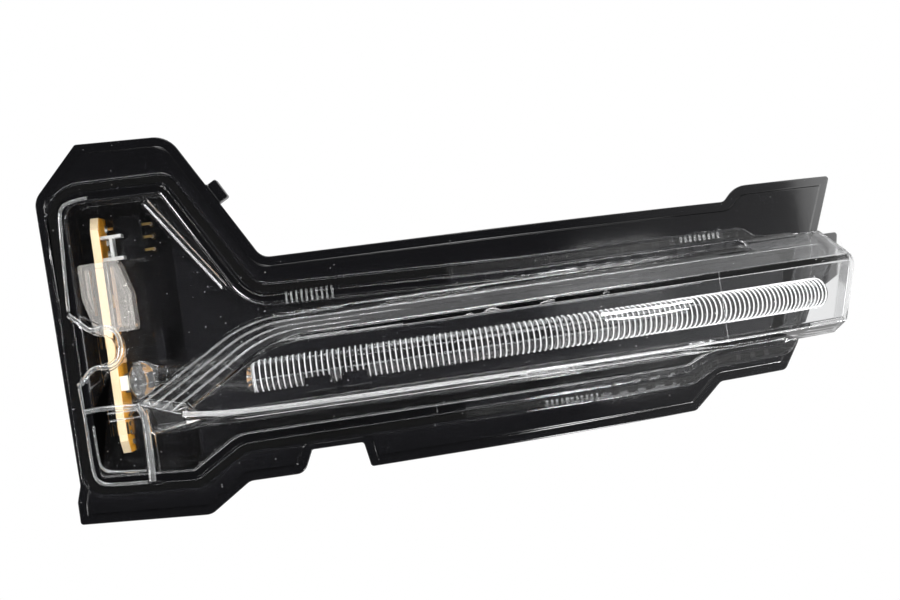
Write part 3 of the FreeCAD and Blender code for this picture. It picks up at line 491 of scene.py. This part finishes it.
@dataclass(frozen=True)
class BoardLaminate:
    """Amber coated board faces with dark dots, and cream cut edges."""

    name: str
    face: Colour
    edge: Colour
    dot: Colour
    roughness: float = 0.35
    face_normal: float = 0.7
    dot_scale: float = 700.0
    dot_radius: float = 0.22
    tone_scale: float = 220.0
    tone_detail: float = 4.0
    deep_share: float = 0.55

    def make(self) -> bpy.types.Material:
        """Build the material.

        Returns:
            The finished material.
        """
        material, canvas, shader = new_material(self.name)
        shader.inputs["Roughness"].default_value = self.roughness
        place = canvas.add("ShaderNodeTexCoord")
        normal = canvas.add("ShaderNodeSeparateXYZ")
        canvas.link(place.outputs["Normal"], normal.inputs["Vector"])
        sideways = canvas.maths("ABSOLUTE", normal.outputs["X"])
        on_face = canvas.maths("GREATER_THAN", sideways, self.face_normal)
        cells = canvas.add("ShaderNodeTexVoronoi", Scale=self.dot_scale)
        canvas.link(place.outputs["Object"], cells.inputs["Vector"])
        dots = canvas.maths("LESS_THAN", cells.outputs["Distance"], self.dot_radius)
        cloud = canvas.add("ShaderNodeTexNoise", Scale=self.tone_scale, Detail=self.tone_detail)
        canvas.link(place.outputs["Object"], cloud.inputs["Vector"])
        coat = canvas.blend(cloud.outputs["Fac"], self.face, dimmed(self.face, self.deep_share))
        printed = canvas.blend(dots, coat, self.dot)
        canvas.link(canvas.blend(on_face, self.edge, printed), shader.inputs["Base Color"])
        return material


class Finishes:
    """Every finish of the lamp, by material slot."""

    def __init__(self) -> None:
        """Make the materials once."""
        finishes = {
            Slot.HOUSING: MouldedPlastic("black_moulding", (0.006, 0.006, 0.007, 1), 0.11),
            Slot.LENS: ClearMoulding("clear_lens", (0.965, 0.97, 0.975, 1), 0.0, haze=0.10),
            Slot.SEAL: MouldedPlastic("seal_bead", (0.010, 0.010, 0.010, 1), 0.16),
            Slot.GUIDE: ClearMoulding("clear_guide", (0.98, 0.98, 0.97, 1), 0.02, ripple=0.0),
            Slot.BEZEL: MouldedPlastic("black_bezel", (0.006, 0.006, 0.007, 1), 0.12),
            Slot.BOARD: BoardLaminate("board", face=(0.95, 0.42, 0.02, 1), edge=(0.60, 0.48, 0.31, 1),
                                      dot=(0.14, 0.06, 0.01, 1)),
            Slot.LED: MouldedPlastic("lamp_package", (0.9, 0.88, 0.78, 1), 0.4, dust_density=0.0),
            Slot.CHIP: MouldedPlastic("chip_body", (0.03, 0.03, 0.03, 1), 0.5),
            Slot.CERAMIC: MouldedPlastic("ceramic", (0.42, 0.28, 0.16, 1), 0.45, dust_density=0.0),
            Slot.TIN: PlatedMetal("tin", (0.9, 0.9, 0.88, 1), 0.32),
            Slot.MILKY: ClearMoulding("milky_clip", (0.95, 0.92, 0.88, 1), 0.05, clearness=0.88),
            Slot.PIN: PlatedMetal("gold_pin", (0.95, 0.66, 0.25, 1), 0.2),
            Slot.FILM: MouldedPlastic("vent_film", (0.75, 0.75, 0.73, 1), 0.7, dust_density=0.0),
            Extra.RING_CREST: ClearMoulding("ring_crest", (0.88, 0.88, 0.88, 1), 0.25, clearness=0.55),
            Extra.LENS_BEAD: ClearMoulding("lens_bead", (0.97, 0.98, 0.98, 1), 0.05, clearness=0.94),
            Extra.COLLIMATOR: ClearMoulding("collimator", (0.98, 0.98, 0.98, 1), 0.0, clearness=0.97),
            Extra.RIDGE: ClearMoulding("ridge", (0.95, 0.95, 0.95, 1), 0.08, clearness=0.86),
        }
        self.materials = {slot: finish.make() for slot, finish in finishes.items()}

    def of(self, slot: Slot | Extra) -> bpy.types.Material:
        """Give the material of a slot."""
        return self.materials[slot]


def dress(piece: bpy.types.Object, material: bpy.types.Material) -> None:
    """Put one material all over a piece."""
    piece.data.materials.clear()
    piece.data.materials.append(material)


def select_only(*pieces: bpy.types.Object) -> None:
    """Select some objects and nothing else.

    Args:
        pieces: The objects, of which the first becomes the active one.
    """
    bpy.ops.object.select_all(action="DESELECT")
    for piece in pieces:
        piece.select_set(True)
    bpy.context.view_layer.objects.active = pieces[0]


def add_object(name: str, data: bpy.types.ID) -> bpy.types.Object:
    """Put a new object with its data in the scene.

    Args:
        name: Name of the object.
        data: Its mesh, curve, camera or lamp.

    Returns:
        The object.
    """
    added = bpy.data.objects.new(name, data)
    bpy.context.scene.collection.objects.link(added)
    return added


def welded_copy(node: str, name: str) -> bpy.types.Object:
    """Copy a node's form, with its loose corners merged, and leave it in edit mode.

    Args:
        node: Node of the frame.
        name: Name of the copy.

    Returns:
        The copy.
    """
    piece = add_object(name, frame["nodes"][node].data.copy())
    select_only(piece)
    bpy.ops.object.mode_set(mode="EDIT")
    bpy.ops.mesh.select_all(action="SELECT")
    bpy.ops.mesh.customdata_custom_splitnormals_clear()
    bpy.ops.mesh.remove_doubles(threshold=WELD)
    return piece


def rounded_copy(node: str, name: str, width: float) -> bpy.types.Object:
    """Copy a node's form and round its edges, as the mould does.

    Args:
        node: Node of the frame.
        name: Name of the new piece.
        width: Width of the rounded edge in metres.

    Returns:
        The new piece.
    """
    piece = welded_copy(node, name)
    bpy.ops.mesh.dissolve_limited(angle_limit=FLAT_ANGLE)
    bpy.ops.object.mode_set(mode="OBJECT")
    bevel = piece.modifiers.new("edge", "BEVEL")
    bevel.width = width
    bevel.segments = EDGE_SEGMENTS
    bevel.limit_method = "ANGLE"
    bevel.angle_limit = EDGE_ANGLE
    bevel.use_clamp_overlap = False
    bpy.ops.object.modifier_apply(modifier=bevel.name)
    bpy.ops.object.shade_smooth_by_angle(angle=SMOOTH_ANGLE, keep_sharp_edges=False)
    even = piece.modifiers.new("even", "WEIGHTED_NORMAL")
    even.mode = "FACE_AREA"
    even.weight = EVEN_WEIGHT
    even.keep_sharp = True
    bpy.ops.object.modifier_apply(modifier=even.name)
    return piece


def register(piece: bpy.types.Object, replaced: str | None = None) -> None:
    """Hang a finished piece on the lamp's body.

    Args:
        piece: Finished piece.
        replaced: Node that it stands for.
    """
    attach(piece, BODY)
    if replaced:
        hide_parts(replaced)
    LOG.info("%s: %d faces", piece.name, len(piece.data.polygons))


@dataclass(frozen=True)
class Softbox:
    """Rectangular lamp that faces the origin, in metres and watts."""

    name: str
    place: tuple[float, float, float]
    size: tuple[float, float]
    power: float
    use: LampUse = LampUse.PLAIN

    def hang(self) -> None:
        """Put the lamp in the scene."""
        data = bpy.data.lights.new(self.name, "AREA")
        data.shape = "RECTANGLE"
        data.size, data.size_y = self.size
        data.energy = self.power
        lamp = add_object(self.name, data)
        lamp.location = self.place
        lamp.rotation_euler = (-Vector(self.place)).to_track_quat("-Z", "Y").to_euler()
        lamp.visible_camera = False
        lamp.visible_diffuse = self.use is not LampUse.MIRRORED
        lamp.visible_transmission = self.use is not LampUse.MIRRORED
        lamp.visible_glossy = self.use is not LampUse.FILL


@dataclass
class Studio:
    """Camera, lights, floor and backdrop."""

    camera_back: float = 0.574
    camera_roll: float = math.radians(8.2)
    camera_near: float = 0.01
    focal: float = 91.17
    sensor: float = 36.0
    floor_drop: float = 0.30
    floor_radius: float = 1.1
    floor_corners: int = 96
    floor_colour: Colour = (0.93, 0.93, 0.93, 1)
    floor_roughness: float = 0.9
    floor_glow: float = 0.55
    floor_glow_through: float = 0.1
    ambient: float = 0.45
    least_light: float = 0.03
    front_dark: float = -0.15
    back_white: float = 0.3
    fade_start: float = 0.12
    fade_end: float = 0.75
    left_level: float = 0.08
    right_level: float = 0.85
    low_dark: float = -0.9
    low_white: float = -0.55
    glow_start: float = 0.35
    glow_end: float = 0.95
    glow: float = 0.4
    seen_through: float = 0.88
    lamps: tuple[Softbox, ...] = (
        Softbox("key", (0.30, -0.42, 0.62), (0.8, 0.3), 4.0),
        Softbox("left", (-0.72, -0.16, 0.16), (0.5, 0.14), 3.4),
        Softbox("right", (0.75, 0.35, 0.10), (0.5, 0.5), 0.8),
        Softbox("low", (0.0, -0.50, -0.25), (0.8, 0.12), 1.2, LampUse.FILL),
        Softbox("top_strip", (0.10, -0.06, 0.70), (0.66, 0.16), 9.0, LampUse.MIRRORED),
        Softbox("left_strip", (-0.80, -0.42, 0.10), (0.2, 0.7), 7.0, LampUse.MIRRORED),
        Softbox("low_strip", (0.25, -0.06, -0.30), (0.8, 0.08), 7.0, LampUse.MIRRORED),
        Softbox("streak_high", (0.381, -0.392, -0.0150), (0.21, 0.0016), 0.04, LampUse.MIRRORED),
        Softbox("streak_low", (0.380, -0.393, -0.0196), (0.19, 0.0012), 0.03, LampUse.MIRRORED),
        Softbox("fill", (0.45, -0.55, 0.20), (0.4, 0.4), 1.5, LampUse.FILL),
    )

    def build(self) -> None:
        """Set up the whole studio."""
        self._camera()
        self._world()
        self._floor()
        for lamp in self.lamps:
            lamp.hang()
        bpy.context.scene.view_settings.view_transform = "Standard"

    def _camera(self) -> None:
        """Look straight at the lens with the photo's roll."""
        data = bpy.data.cameras.new("camera")
        data.sensor_width = self.sensor
        data.lens = self.focal
        data.clip_start = self.camera_near
        camera = add_object("camera", data)
        right = Vector((math.cos(self.camera_roll), 0, -math.sin(self.camera_roll)))
        up = Vector((math.sin(self.camera_roll), 0, math.cos(self.camera_roll)))
        turn = Matrix((right, up, Vector((0, -1, 0)))).transposed().to_4x4()
        camera.matrix_world = Matrix.Translation((0, -self.camera_back, 0)) @ turn
        bpy.context.scene.camera = camera

    def _world(self) -> None:
        """Make a world that is white to the camera and behind the lamp, and soft grey as light."""
        world = bpy.data.worlds.new("studio")
        bpy.context.scene.world = world
        world.use_nodes = True
        world.node_tree.nodes.clear()
        canvas = NodeCanvas(world.node_tree)
        path = canvas.add("ShaderNodeLightPath")
        place = canvas.add("ShaderNodeTexCoord")
        split = canvas.add("ShaderNodeSeparateXYZ")
        canvas.link(place.outputs["Generated"], split.inputs["Vector"])
        behind = canvas.ramp(split.outputs["Y"], self.front_dark, self.back_white)
        aside = canvas.ramp(split.outputs["X"], self.fade_start, self.fade_end,
                            self.left_level, self.right_level)
        above = canvas.ramp(split.outputs["Z"], self.low_dark, self.low_white)
        beside = canvas.ramp(split.outputs["X"], self.glow_start, self.glow_end, high=self.glow)
        mirrored = canvas.maths("MULTIPLY", canvas.maths("MULTIPLY", behind, aside), above)
        mirrored = canvas.maths("MAXIMUM", mirrored, beside)
        shine = canvas.maths("MULTIPLY", path.outputs["Is Glossy Ray"], mirrored)
        through = canvas.maths("MULTIPLY", path.outputs["Is Transmission Ray"], behind)
        through = canvas.maths("MULTIPLY", through, self.seen_through)
        shown = canvas.maths("MAXIMUM", through, shine)
        bright = canvas.maths("MAXIMUM", path.outputs["Is Camera Ray"], shown)
        soft = canvas.maths("ADD", canvas.maths("MULTIPLY", behind, self.ambient), self.least_light)
        sky = canvas.add("ShaderNodeBackground", Color=WHITE)
        canvas.link(canvas.maths("MAXIMUM", bright, soft), sky.inputs["Strength"])
        output = canvas.add("ShaderNodeOutputWorld")
        canvas.link(sky.outputs["Background"], output.inputs["Surface"])

    def _floor(self) -> None:
        """Lay a plain pale floor well below the lamp."""
        low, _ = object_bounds()
        bpy.ops.mesh.primitive_circle_add(vertices=self.floor_corners, radius=self.floor_radius,
                                          fill_type="NGON", location=(0, 0, low[2] - self.floor_drop))
        floor = bpy.context.active_object
        floor.name = "floor"
        material, canvas, shader = new_material("floor")
        shader.inputs["Base Color"].default_value = self.floor_colour
        shader.inputs["Roughness"].default_value = self.floor_roughness
        shader.inputs["Emission Color"].default_value = WHITE
        path = canvas.add("ShaderNodeLightPath")
        direct = canvas.maths("MULTIPLY", path.outputs["Is Camera Ray"], self.floor_glow)
        through = canvas.maths("MULTIPLY", path.outputs["Is Transmission Ray"], self.floor_glow_through)
        canvas.link(canvas.maths("ADD", direct, through), shader.inputs["Emission Strength"])
        dress(floor, material)
        floor.visible_glossy = False
        floor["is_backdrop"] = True


@dataclass
class Shells:
    """Housing, lens, carrier and retainer with their rounded edges."""

    housing_edge: float = 0.45 * MM
    lens_edge: float = 0.48 * MM
    carrier_edge: float = 0.3 * MM
    retainer_edge: float = 0.35 * MM

    def build(self, finishes: Finishes) -> None:
        """Round and dress each shell.

        Args:
            finishes: The lamp's finishes.
        """
        shells = (
            ("rear_housing", "housing_shell", self.housing_edge, Slot.HOUSING),
            ("outer_lens", "lens_shell", self.lens_edge, Slot.LENS),
            ("guide_carrier", "bezel", self.carrier_edge, Slot.BEZEL),
            ("board_retainer", "board_clip", self.retainer_edge, Slot.MILKY),
        )
        for node, name, edge, slot in shells:
            piece = rounded_copy(node, name, edge)
            dress(piece, finishes.of(slot))
            register(piece, node)


@dataclass
class LightGuide:
    """Clear rod with a bead ring for every tooth, its lead-in, collimator and head."""

    start_x: float = -50.0 * MM
    layer_y: float = -20.0 * MM
    axis_z: float = -11.6 * MM
    bend_radius: float = 141.0 * MM
    bend_angle: float = math.radians(41.5)
    bend_steps: int = 64
    rod_radius: float = 3.7 * MM
    flat_back: float = 2.4 * MM
    ring_count: int = 110
    segments: int = 28
    ring_weld: float = 0.01 * MM
    bead_height: float = 0.3 * MM
    bead_half: float = 0.18 * MM
    shoulder_height: float = 0.72
    shoulder_half: float = 0.7
    frost_height: float = 0.2
    frost_back: float = 0.9
    start_slack: float = 0.1 * MM
    head_gap: float = 0.05 * MM
    head_slack: float = 0.2 * MM
    bell_left: float = -81.2 * MM
    bell_right: float = -73.6 * MM
    bell_y: float = -11.0 * MM
    bell_z: float = -8.9 * MM
    bell_radius: float = 4.9 * MM
    bell_segments: int = 40
    bell_rings: int = 20
    bell_slack: float = 0.03
    smooth_angle: float = math.radians(40)

    @property
    def pitch(self) -> float:
        """Spacing of the rings along the rod."""
        return (self.bend_radius * self.bend_angle - self.start_x) / self.ring_count

    @property
    def bell_half(self) -> float:
        """Half the collimator's length."""
        return (self.bell_right - self.bell_left) / 2

    @property
    def bell_middle(self) -> Vector:
        """Middle of the collimator."""
        return Vector((self.bell_left + self.bell_half, self.bell_y, self.bell_z))

    def build(self, finishes: Finishes) -> None:
        """Model the guide and dress it.

        Args:
            finishes: The lamp's finishes.
        """
        rod = self._ring()
        self._repeat(rod)
        head = self._head()
        ball = self._collimator()
        select_only(rod, head, ball)
        bpy.ops.object.join()
        rod.name = "guide_rod"
        bpy.ops.object.shade_smooth_by_angle(angle=self.smooth_angle)
        dress(rod, finishes.of(Slot.GUIDE))
        rod.data.materials.append(finishes.of(Extra.RING_CREST))
        rod.data.materials.append(finishes.of(Extra.COLLIMATOR))
        for face in rod.data.polygons:
            face.material_index = self._finish_at(face.center).value
        register(rod, "light_guide")

    def _finish_at(self, spot: Vector) -> GuideFace:
        """Tell which finish a face of the guide has.

        Args:
            spot: Middle of the face.

        Returns:
            Frosted on the beads and the rod's start, clear elsewhere, or the collimator's own finish.
        """
        if spot.x < self.start_x - self.head_slack:
            out = math.hypot(spot.y - self.bell_y, spot.z - self.bell_z)
            along = (spot.x - self.bell_left) / self.bell_half - 1
            on_ball = abs(math.hypot(along, out / self.bell_radius) - 1) < self.bell_slack
            return GuideFace.BALL if on_ball else GuideFace.CLEAR
        depth = spot.y - self.layer_y
        if spot.x > 0:
            depth = self.bend_radius - math.hypot(spot.x, depth - self.bend_radius)
        across = math.hypot(depth, spot.z - self.axis_z)
        on_start = abs(spot.x - self.start_x) < self.start_slack
        on_bead = across > self.rod_radius + self.frost_height * self.bead_height
        on_front = depth < self.frost_back * self.flat_back
        return GuideFace.CREST if on_start or (on_bead and on_front) else GuideFace.CLEAR

    def _ring(self) -> bpy.types.Object:
        """Draw out one pitch of the rod with its bead.

        Returns:
            The open ring, along X from the origin.
        """
        bpy.ops.object.select_all(action="DESELECT")
        bpy.ops.mesh.primitive_circle_add(vertices=self.segments, radius=self.rod_radius,
                                          rotation=(0, QUARTER_TURN, 0))
        ring = bpy.context.active_object
        bpy.ops.object.transform_apply(location=True, rotation=True, scale=True)
        middle = self.pitch / 2
        crest = self.rod_radius + self.bead_height
        shoulder = self.rod_radius + self.shoulder_height * self.bead_height
        flank = self.shoulder_half * self.bead_half
        steps = [(middle - self.bead_half, self.rod_radius), (middle - flank, shoulder), (middle, crest),
                 (middle + flank, shoulder), (middle + self.bead_half, self.rod_radius),
                 (self.pitch, self.rod_radius)]
        bpy.ops.object.mode_set(mode="EDIT")
        bpy.ops.mesh.select_all(action="SELECT")
        x, radius = 0.0, self.rod_radius
        for next_x, next_radius in steps:
            move = {"value": (next_x - x, 0, 0)}
            bpy.ops.mesh.extrude_region_move(TRANSFORM_OT_translate=move)
            grow = next_radius / radius
            bpy.ops.transform.resize(value=(1, grow, grow), center_override=(next_x, 0, 0))
            x, radius = next_x, next_radius
        bpy.ops.object.mode_set(mode="OBJECT")
        for corner in ring.data.vertices:
            corner.co.y = min(corner.co.y, self.flat_back)
        return ring

    def _repeat(self, ring: bpy.types.Object) -> None:
        """Repeat the ring along the rod, bend it round the lamp and close its ends.

        Args:
            ring: One pitch of the rod.
        """
        row = ring.modifiers.new("row", "ARRAY")
        row.count = self.ring_count
        row.use_relative_offset = False
        row.use_constant_offset = True
        row.constant_offset_displace = (self.pitch, 0, 0)
        row.use_merge_vertices = True
        row.merge_threshold = self.ring_weld
        path = self._path()
        bend = ring.modifiers.new("bend", "CURVE")
        bend.object = path
        select_only(ring)
        bpy.ops.object.modifier_apply(modifier=row.name)
        bpy.ops.object.modifier_apply(modifier=bend.name)
        bpy.data.objects.remove(path)
        bpy.ops.object.mode_set(mode="EDIT")
        bpy.ops.mesh.select_all(action="DESELECT")
        bpy.ops.mesh.select_non_manifold(extend=False)
        bpy.ops.mesh.fill_holes(sides=0)
        bpy.ops.mesh.select_all(action="SELECT")
        bpy.ops.mesh.normals_make_consistent(inside=False)
        bpy.ops.object.mode_set(mode="OBJECT")

    def _path(self) -> bpy.types.Object:
        """Draw the rod's axis: a straight run, then one round bend.

        Returns:
            The curve.
        """
        curve = bpy.data.curves.new("guide_axis", "CURVE")
        curve.dimensions = "3D"
        curve.twist_mode = "Z_UP"
        curve.resolution_u = self.bend_steps
        run = -self.start_x / 3
        reach = 4 / 3 * math.tan(self.bend_angle / 4) * self.bend_radius
        start = Vector((self.start_x, self.layer_y, self.axis_z))
        corner = Vector((0, self.layer_y, self.axis_z))
        end = Vector((self.bend_radius * math.sin(self.bend_angle),
                      self.layer_y + self.bend_radius * (1 - math.cos(self.bend_angle)), self.axis_z))
        ahead = Vector((1, 0, 0))
        round_bend = Vector((math.cos(self.bend_angle), math.sin(self.bend_angle), 0))
        places = ((start, ahead, run, run), (corner, ahead, run, reach), (end, round_bend, reach, reach))
        spline = curve.splines.new("BEZIER")
        spline.bezier_points.add(len(places) - 1)
        for point, (place, way, back, fore) in zip(spline.bezier_points, places):
            point.co = place
            point.handle_left_type = point.handle_right_type = "FREE"
            point.handle_left = place - way * back
            point.handle_right = place + way * fore
        return add_object("guide_axis", curve)

    def _collimator(self) -> bpy.types.Object:
        """Model the round collimator in front of the lamp chip.

        Returns:
            The flattened ball.
        """
        bpy.ops.object.select_all(action="DESELECT")
        bpy.ops.mesh.primitive_uv_sphere_add(segments=self.bell_segments, ring_count=self.bell_rings,
                                             radius=self.bell_radius, location=self.bell_middle,
                                             rotation=(0, QUARTER_TURN, 0))
        ball = bpy.context.active_object
        bpy.ops.object.transform_apply(location=True, rotation=True, scale=True)
        bpy.ops.object.mode_set(mode="EDIT")
        bpy.ops.mesh.select_all(action="SELECT")
        bpy.ops.transform.resize(value=(self.bell_half / self.bell_radius, 1, 1),
                                 center_override=self.bell_middle)
        bpy.ops.object.mode_set(mode="OBJECT")
        return ball

    def _head(self) -> bpy.types.Object:
        """Cut the lead-in and head plate from the solid, up to where the rod starts.

        Returns:
            The closed head.
        """
        head = welded_copy("light_guide", "guide_head")
        bpy.ops.mesh.select_all(action="SELECT")
        bpy.ops.mesh.bisect(plane_co=(self.start_x - self.head_gap, 0, 0), plane_no=(1, 0, 0),
                            use_fill=True, clear_outer=True)
        bpy.ops.object.mode_set(mode="OBJECT")
        return head


@dataclass
class LensBeads:
    """Moulded beads and ribs on the front of the lens, in millimetres.

    A layer is a distance in front of the flange, which is flat on the left and bent on the right.
    An outline holds X and Z.
    """

    flange_y: float = -14.0
    bend_radius: float = 135.0
    foot_layer: float = 2.0
    step_layer: float = 5.0
    face_layer: float = 13.5
    step_top: float = 2.5
    face_top: float = -2.6
    face_bottom: float = -19.7
    step_shoulder: float = -50.0
    face_shoulder: float = -43.0
    step_tip: tuple[float, float] = (-79.2, -14.2)
    face_tip: tuple[float, float] = (-68.0, -17.9)
    keyhole: Outline = ((-92.6, 9.6), (-90.8, 8.0), (-88.6, 5.6), (-87.4, 5.0), (-85.2, 5.6), (-82.0, 5.0),
                        (-80.6, 1.0), (-82.0, -3.4), (-85.0, -4.6), (-87.6, -3.9), (-89.4, -4.8),
                        (-91.4, -7.2), (-92.6, -8.0))
    arm: Outline = ((-92.0, -14.4), (-90.0, -14.1), (-84.0, -14.3), (-79.2, -14.7))
    upright: Outline = ((-79.2, -14.7), (-77.9, -16.0), (-77.5, -18.5), (-77.6, -26.0), (-77.9, -33.3))
    wall_upper: Outline = ((-92.4, 10.5), (-91.4, 32.4), (-90.9, 35.4), (-88.6, 37.0), (-84.0, 37.2))
    wall_lower: Outline = ((-92.4, -8.5), (-92.0, -16.0), (-92.1, -28.0), (-91.4, -31.6), (-88.0, -33.0),
                           (-79.2, -33.4))
    chamber: Outline = ((-90.3, -18.0), (-90.4, -26.6), (-89.4, -29.0), (-87.0, -30.0), (-79.0, -30.6))
    rope_radius: float = 0.6
    arm_radius: float = 0.6
    upright_radius: float = 0.9
    wall_radius: float = 0.4
    line_radius: float = 0.3
    line_taper: float = 0.45
    line_step: float = 4.0
    least_runs: int = 3
    bow: float = 30.0
    bow_steps: int = 12
    sweep_lines: tuple[tuple[float, float], ...] = ((0.10, -26.0), (0.34, 96.0), (0.58, -12.0), (0.80, -22.0))
    ridge_start: Outline = ((-67.4, -18.0), (-60.0, -19.0), (-45.0, -19.6))
    ridge_left: int = -30
    ridge_right: int = 90
    ridge_step: int = 6
    ridge_layer: float = 12.8
    ridge_radius: float = 0.65
    ridge_taper: float = 0.35
    seam_x: float = 66.6
    seam_radius: float = 0.12
    bead_sides: int = 3
    bead_steps: int = 4
    bead_order: int = 3
    bead_smooth: float = math.radians(50)
    rib_pitch: float = 1.25
    rib_size: tuple[float, float, float] = (0.5, 0.7, 1.5)
    rib_edge: float = 0.15
    ladders: tuple[tuple[float, float, int], ...] = ((-39.5, 7.0, 10), (-39.5, 5.6, 10), (59.4, 6.6, 9),
                                                     (20.0, -28.6, 11))

    def build(self, finishes: Finishes) -> None:
        """Lay every bead and rib and dress it.

        Args:
            finishes: The lamp's finishes.
        """
        on_step = (
            ("keyhole_rope", self.keyhole, self.rope_radius),
            ("lens_arm", self.arm, self.arm_radius),
            ("lens_upright", self.upright, self.upright_radius),
            ("wall_line_upper", self.wall_upper, self.wall_radius),
            ("wall_line_lower", self.wall_lower, self.wall_radius),
            ("chamber_line", self.chamber, self.line_radius),
        )
        bead = finishes.of(Extra.LENS_BEAD)
        for name, outline, radius in on_step:
            self._bead(name, self._laid(outline, self.step_layer), radius, bead)
        for number, (share, end_x) in enumerate(self.sweep_lines):
            line = self._pod_line(share, end_x)
            self._bead(f"pod_line_{number}", line, self.line_radius, bead, self.line_taper)
        places = range(self.ridge_left, self.ridge_right + 1, self.ridge_step)
        run = tuple((x, self.face_bottom) for x in places)
        ridge = self._laid(self.ridge_start + run, self.ridge_layer)
        self._bead("pod_ridge", ridge, self.ridge_radius, finishes.of(Extra.RIDGE), self.ridge_taper)
        seam = self._laid(((self.seam_x, self.face_top), (self.seam_x, self.face_bottom)), self.face_layer)
        self._bead("pod_seam", seam, self.seam_radius, bead)
        for number, (start_x, z, count) in enumerate(self.ladders):
            self._ladder(f"lens_ladder_{number}", start_x, z, count, bead)

    def _depth(self, x: float, layer: float) -> float:
        """Work out the depth of a layer.

        Args:
            x: Place along the lamp.
            layer: Distance in front of the flange.

        Returns:
            The layer's Y.
        """
        if x <= 0:
            return self.flange_y - layer
        return self.flange_y + self.bend_radius - math.sqrt((self.bend_radius + layer) ** 2 - x * x)

    def _laid(self, outline: Outline, layer: float) -> list[Vector]:
        """Lay an outline on a layer of the lens."""
        return [Vector((x, self._depth(x, layer), z)) for x, z in outline]

    def _pod_line(self, share: float, end_x: float) -> list[Vector]:
        """Draw a line round the pod's upper side.

        Args:
            share: 0 at the step, 1 at the pod's face.
            end_x: Where the line ends.

        Returns:
            Points from the pod's left tip to the line's end.
        """
        layer = self.step_layer + share * (self.face_layer - self.step_layer)
        top = self.step_top + share * (self.face_top - self.step_top)
        corner_x = self.step_shoulder + share * (self.face_shoulder - self.step_shoulder)
        tip_x, tip_z = (low + share * (high - low) for low, high in zip(self.step_tip, self.face_tip))
        turn = math.atan2(top - tip_z, corner_x - tip_x)
        start_x = corner_x + self.bow * math.tan(turn / 2)
        points = [(tip_x, tip_z)]
        for step in range(self.bow_steps + 1):
            angle = turn * (1 - step / self.bow_steps)
            points.append((start_x - self.bow * math.sin(angle), top - self.bow * (1 - math.cos(angle))))
        runs = max(self.least_runs, round((end_x - start_x) / self.line_step))
        points += [(start_x + (end_x - start_x) * step / runs, top) for step in range(1, runs + 1)]
        return self._laid(tuple(points), layer)

    def _bead(self, name: str, points: list[Vector], radius: float, material: bpy.types.Material,
              taper: float = 1.0) -> None:
        """Lay one round bead along a smooth line.

        Args:
            name: Name of the piece.
            points: Points of the line.
            radius: Radius of the bead.
            material: Its finish.
            taper: Share of the radius that is left at the bead's end.
        """
        curve = bpy.data.curves.new(name, "CURVE")
        curve.dimensions = "3D"
        curve.bevel_depth = radius * MM
        curve.bevel_resolution = self.bead_sides
        curve.resolution_u = self.bead_steps
        curve.use_fill_caps = True
        spline = curve.splines.new("NURBS")
        last = len(points) - 1
        spline.points.add(last)
        for number, (point, place) in enumerate(zip(spline.points, points)):
            point.co = (*(place * MM), 1.0)
            point.radius = 1 + (taper - 1) * number / last
        spline.order_u = self.bead_order
        spline.use_endpoint_u = True
        select_only(add_object(name, curve))
        bpy.ops.object.convert(target="MESH")
        piece = bpy.context.active_object
        bpy.ops.object.shade_smooth_by_angle(angle=self.bead_smooth)
        dress(piece, material)
        register(piece)

    def _ladder(self, name: str, start_x: float, z: float, count: int, material: bpy.types.Material) -> None:
        """Model a row of fine upright ribs on the lens foot.

        Args:
            name: Name of the piece.
            start_x: Left end of the row.
            z: Middle of the row.
            count: Number of ribs.
            material: Finish of the ribs.
        """
        ribs = [self._rib(start_x + number * self.rib_pitch, z) for number in range(count)]
        select_only(*ribs)
        bpy.ops.object.join()
        ladder = bpy.context.active_object
        ladder.name = name
        bpy.ops.object.shade_smooth_by_angle(angle=SMOOTH_ANGLE)
        dress(ladder, material)
        register(ladder)

    def _rib(self, x: float, z: float) -> bpy.types.Object:
        """Model one rib with rounded edges, square to the lens foot.

        Args:
            x: Place along the lamp.
            z: Height of the rib's middle.

        Returns:
            The rib.
        """
        place = Vector((x, self._depth(x, self.foot_layer), z)) * MM
        turn = math.asin(max(x, 0) / (self.bend_radius + self.foot_layer))
        bpy.ops.object.select_all(action="DESELECT")
        bpy.ops.mesh.primitive_cube_add(size=1, location=place, rotation=(0, 0, turn))
        rib = bpy.context.active_object
        rib.scale = Vector(self.rib_size) * MM
        bpy.ops.object.transform_apply(location=True, rotation=True, scale=True)
        bpy.ops.object.mode_set(mode="EDIT")
        bpy.ops.mesh.bevel(offset=self.rib_edge * MM, segments=EDGE_SEGMENTS)
        bpy.ops.object.mode_set(mode="OBJECT")
        return rib


def dress_nodes(finishes: Finishes) -> None:
    """Give every node of the frame the finish of its slot.

    Args:
        finishes: The lamp's finishes.
    """
    for row in frame["record"]["subparts"]:
        dress(frame["nodes"][row["node"]], finishes.of(Slot(row["material_slot"])))


def main() -> None:
    """Build the lamp's looks around its frame."""
    logging.basicConfig(level=logging.INFO, format="%(name)s %(message)s")
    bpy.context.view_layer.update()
    finishes = Finishes()
    dress_nodes(finishes)
    Studio().build()
    Shells().build(finishes)
    LightGuide().build(finishes)
    LensBeads().build(finishes)


if __name__ == "__main__":
    main()
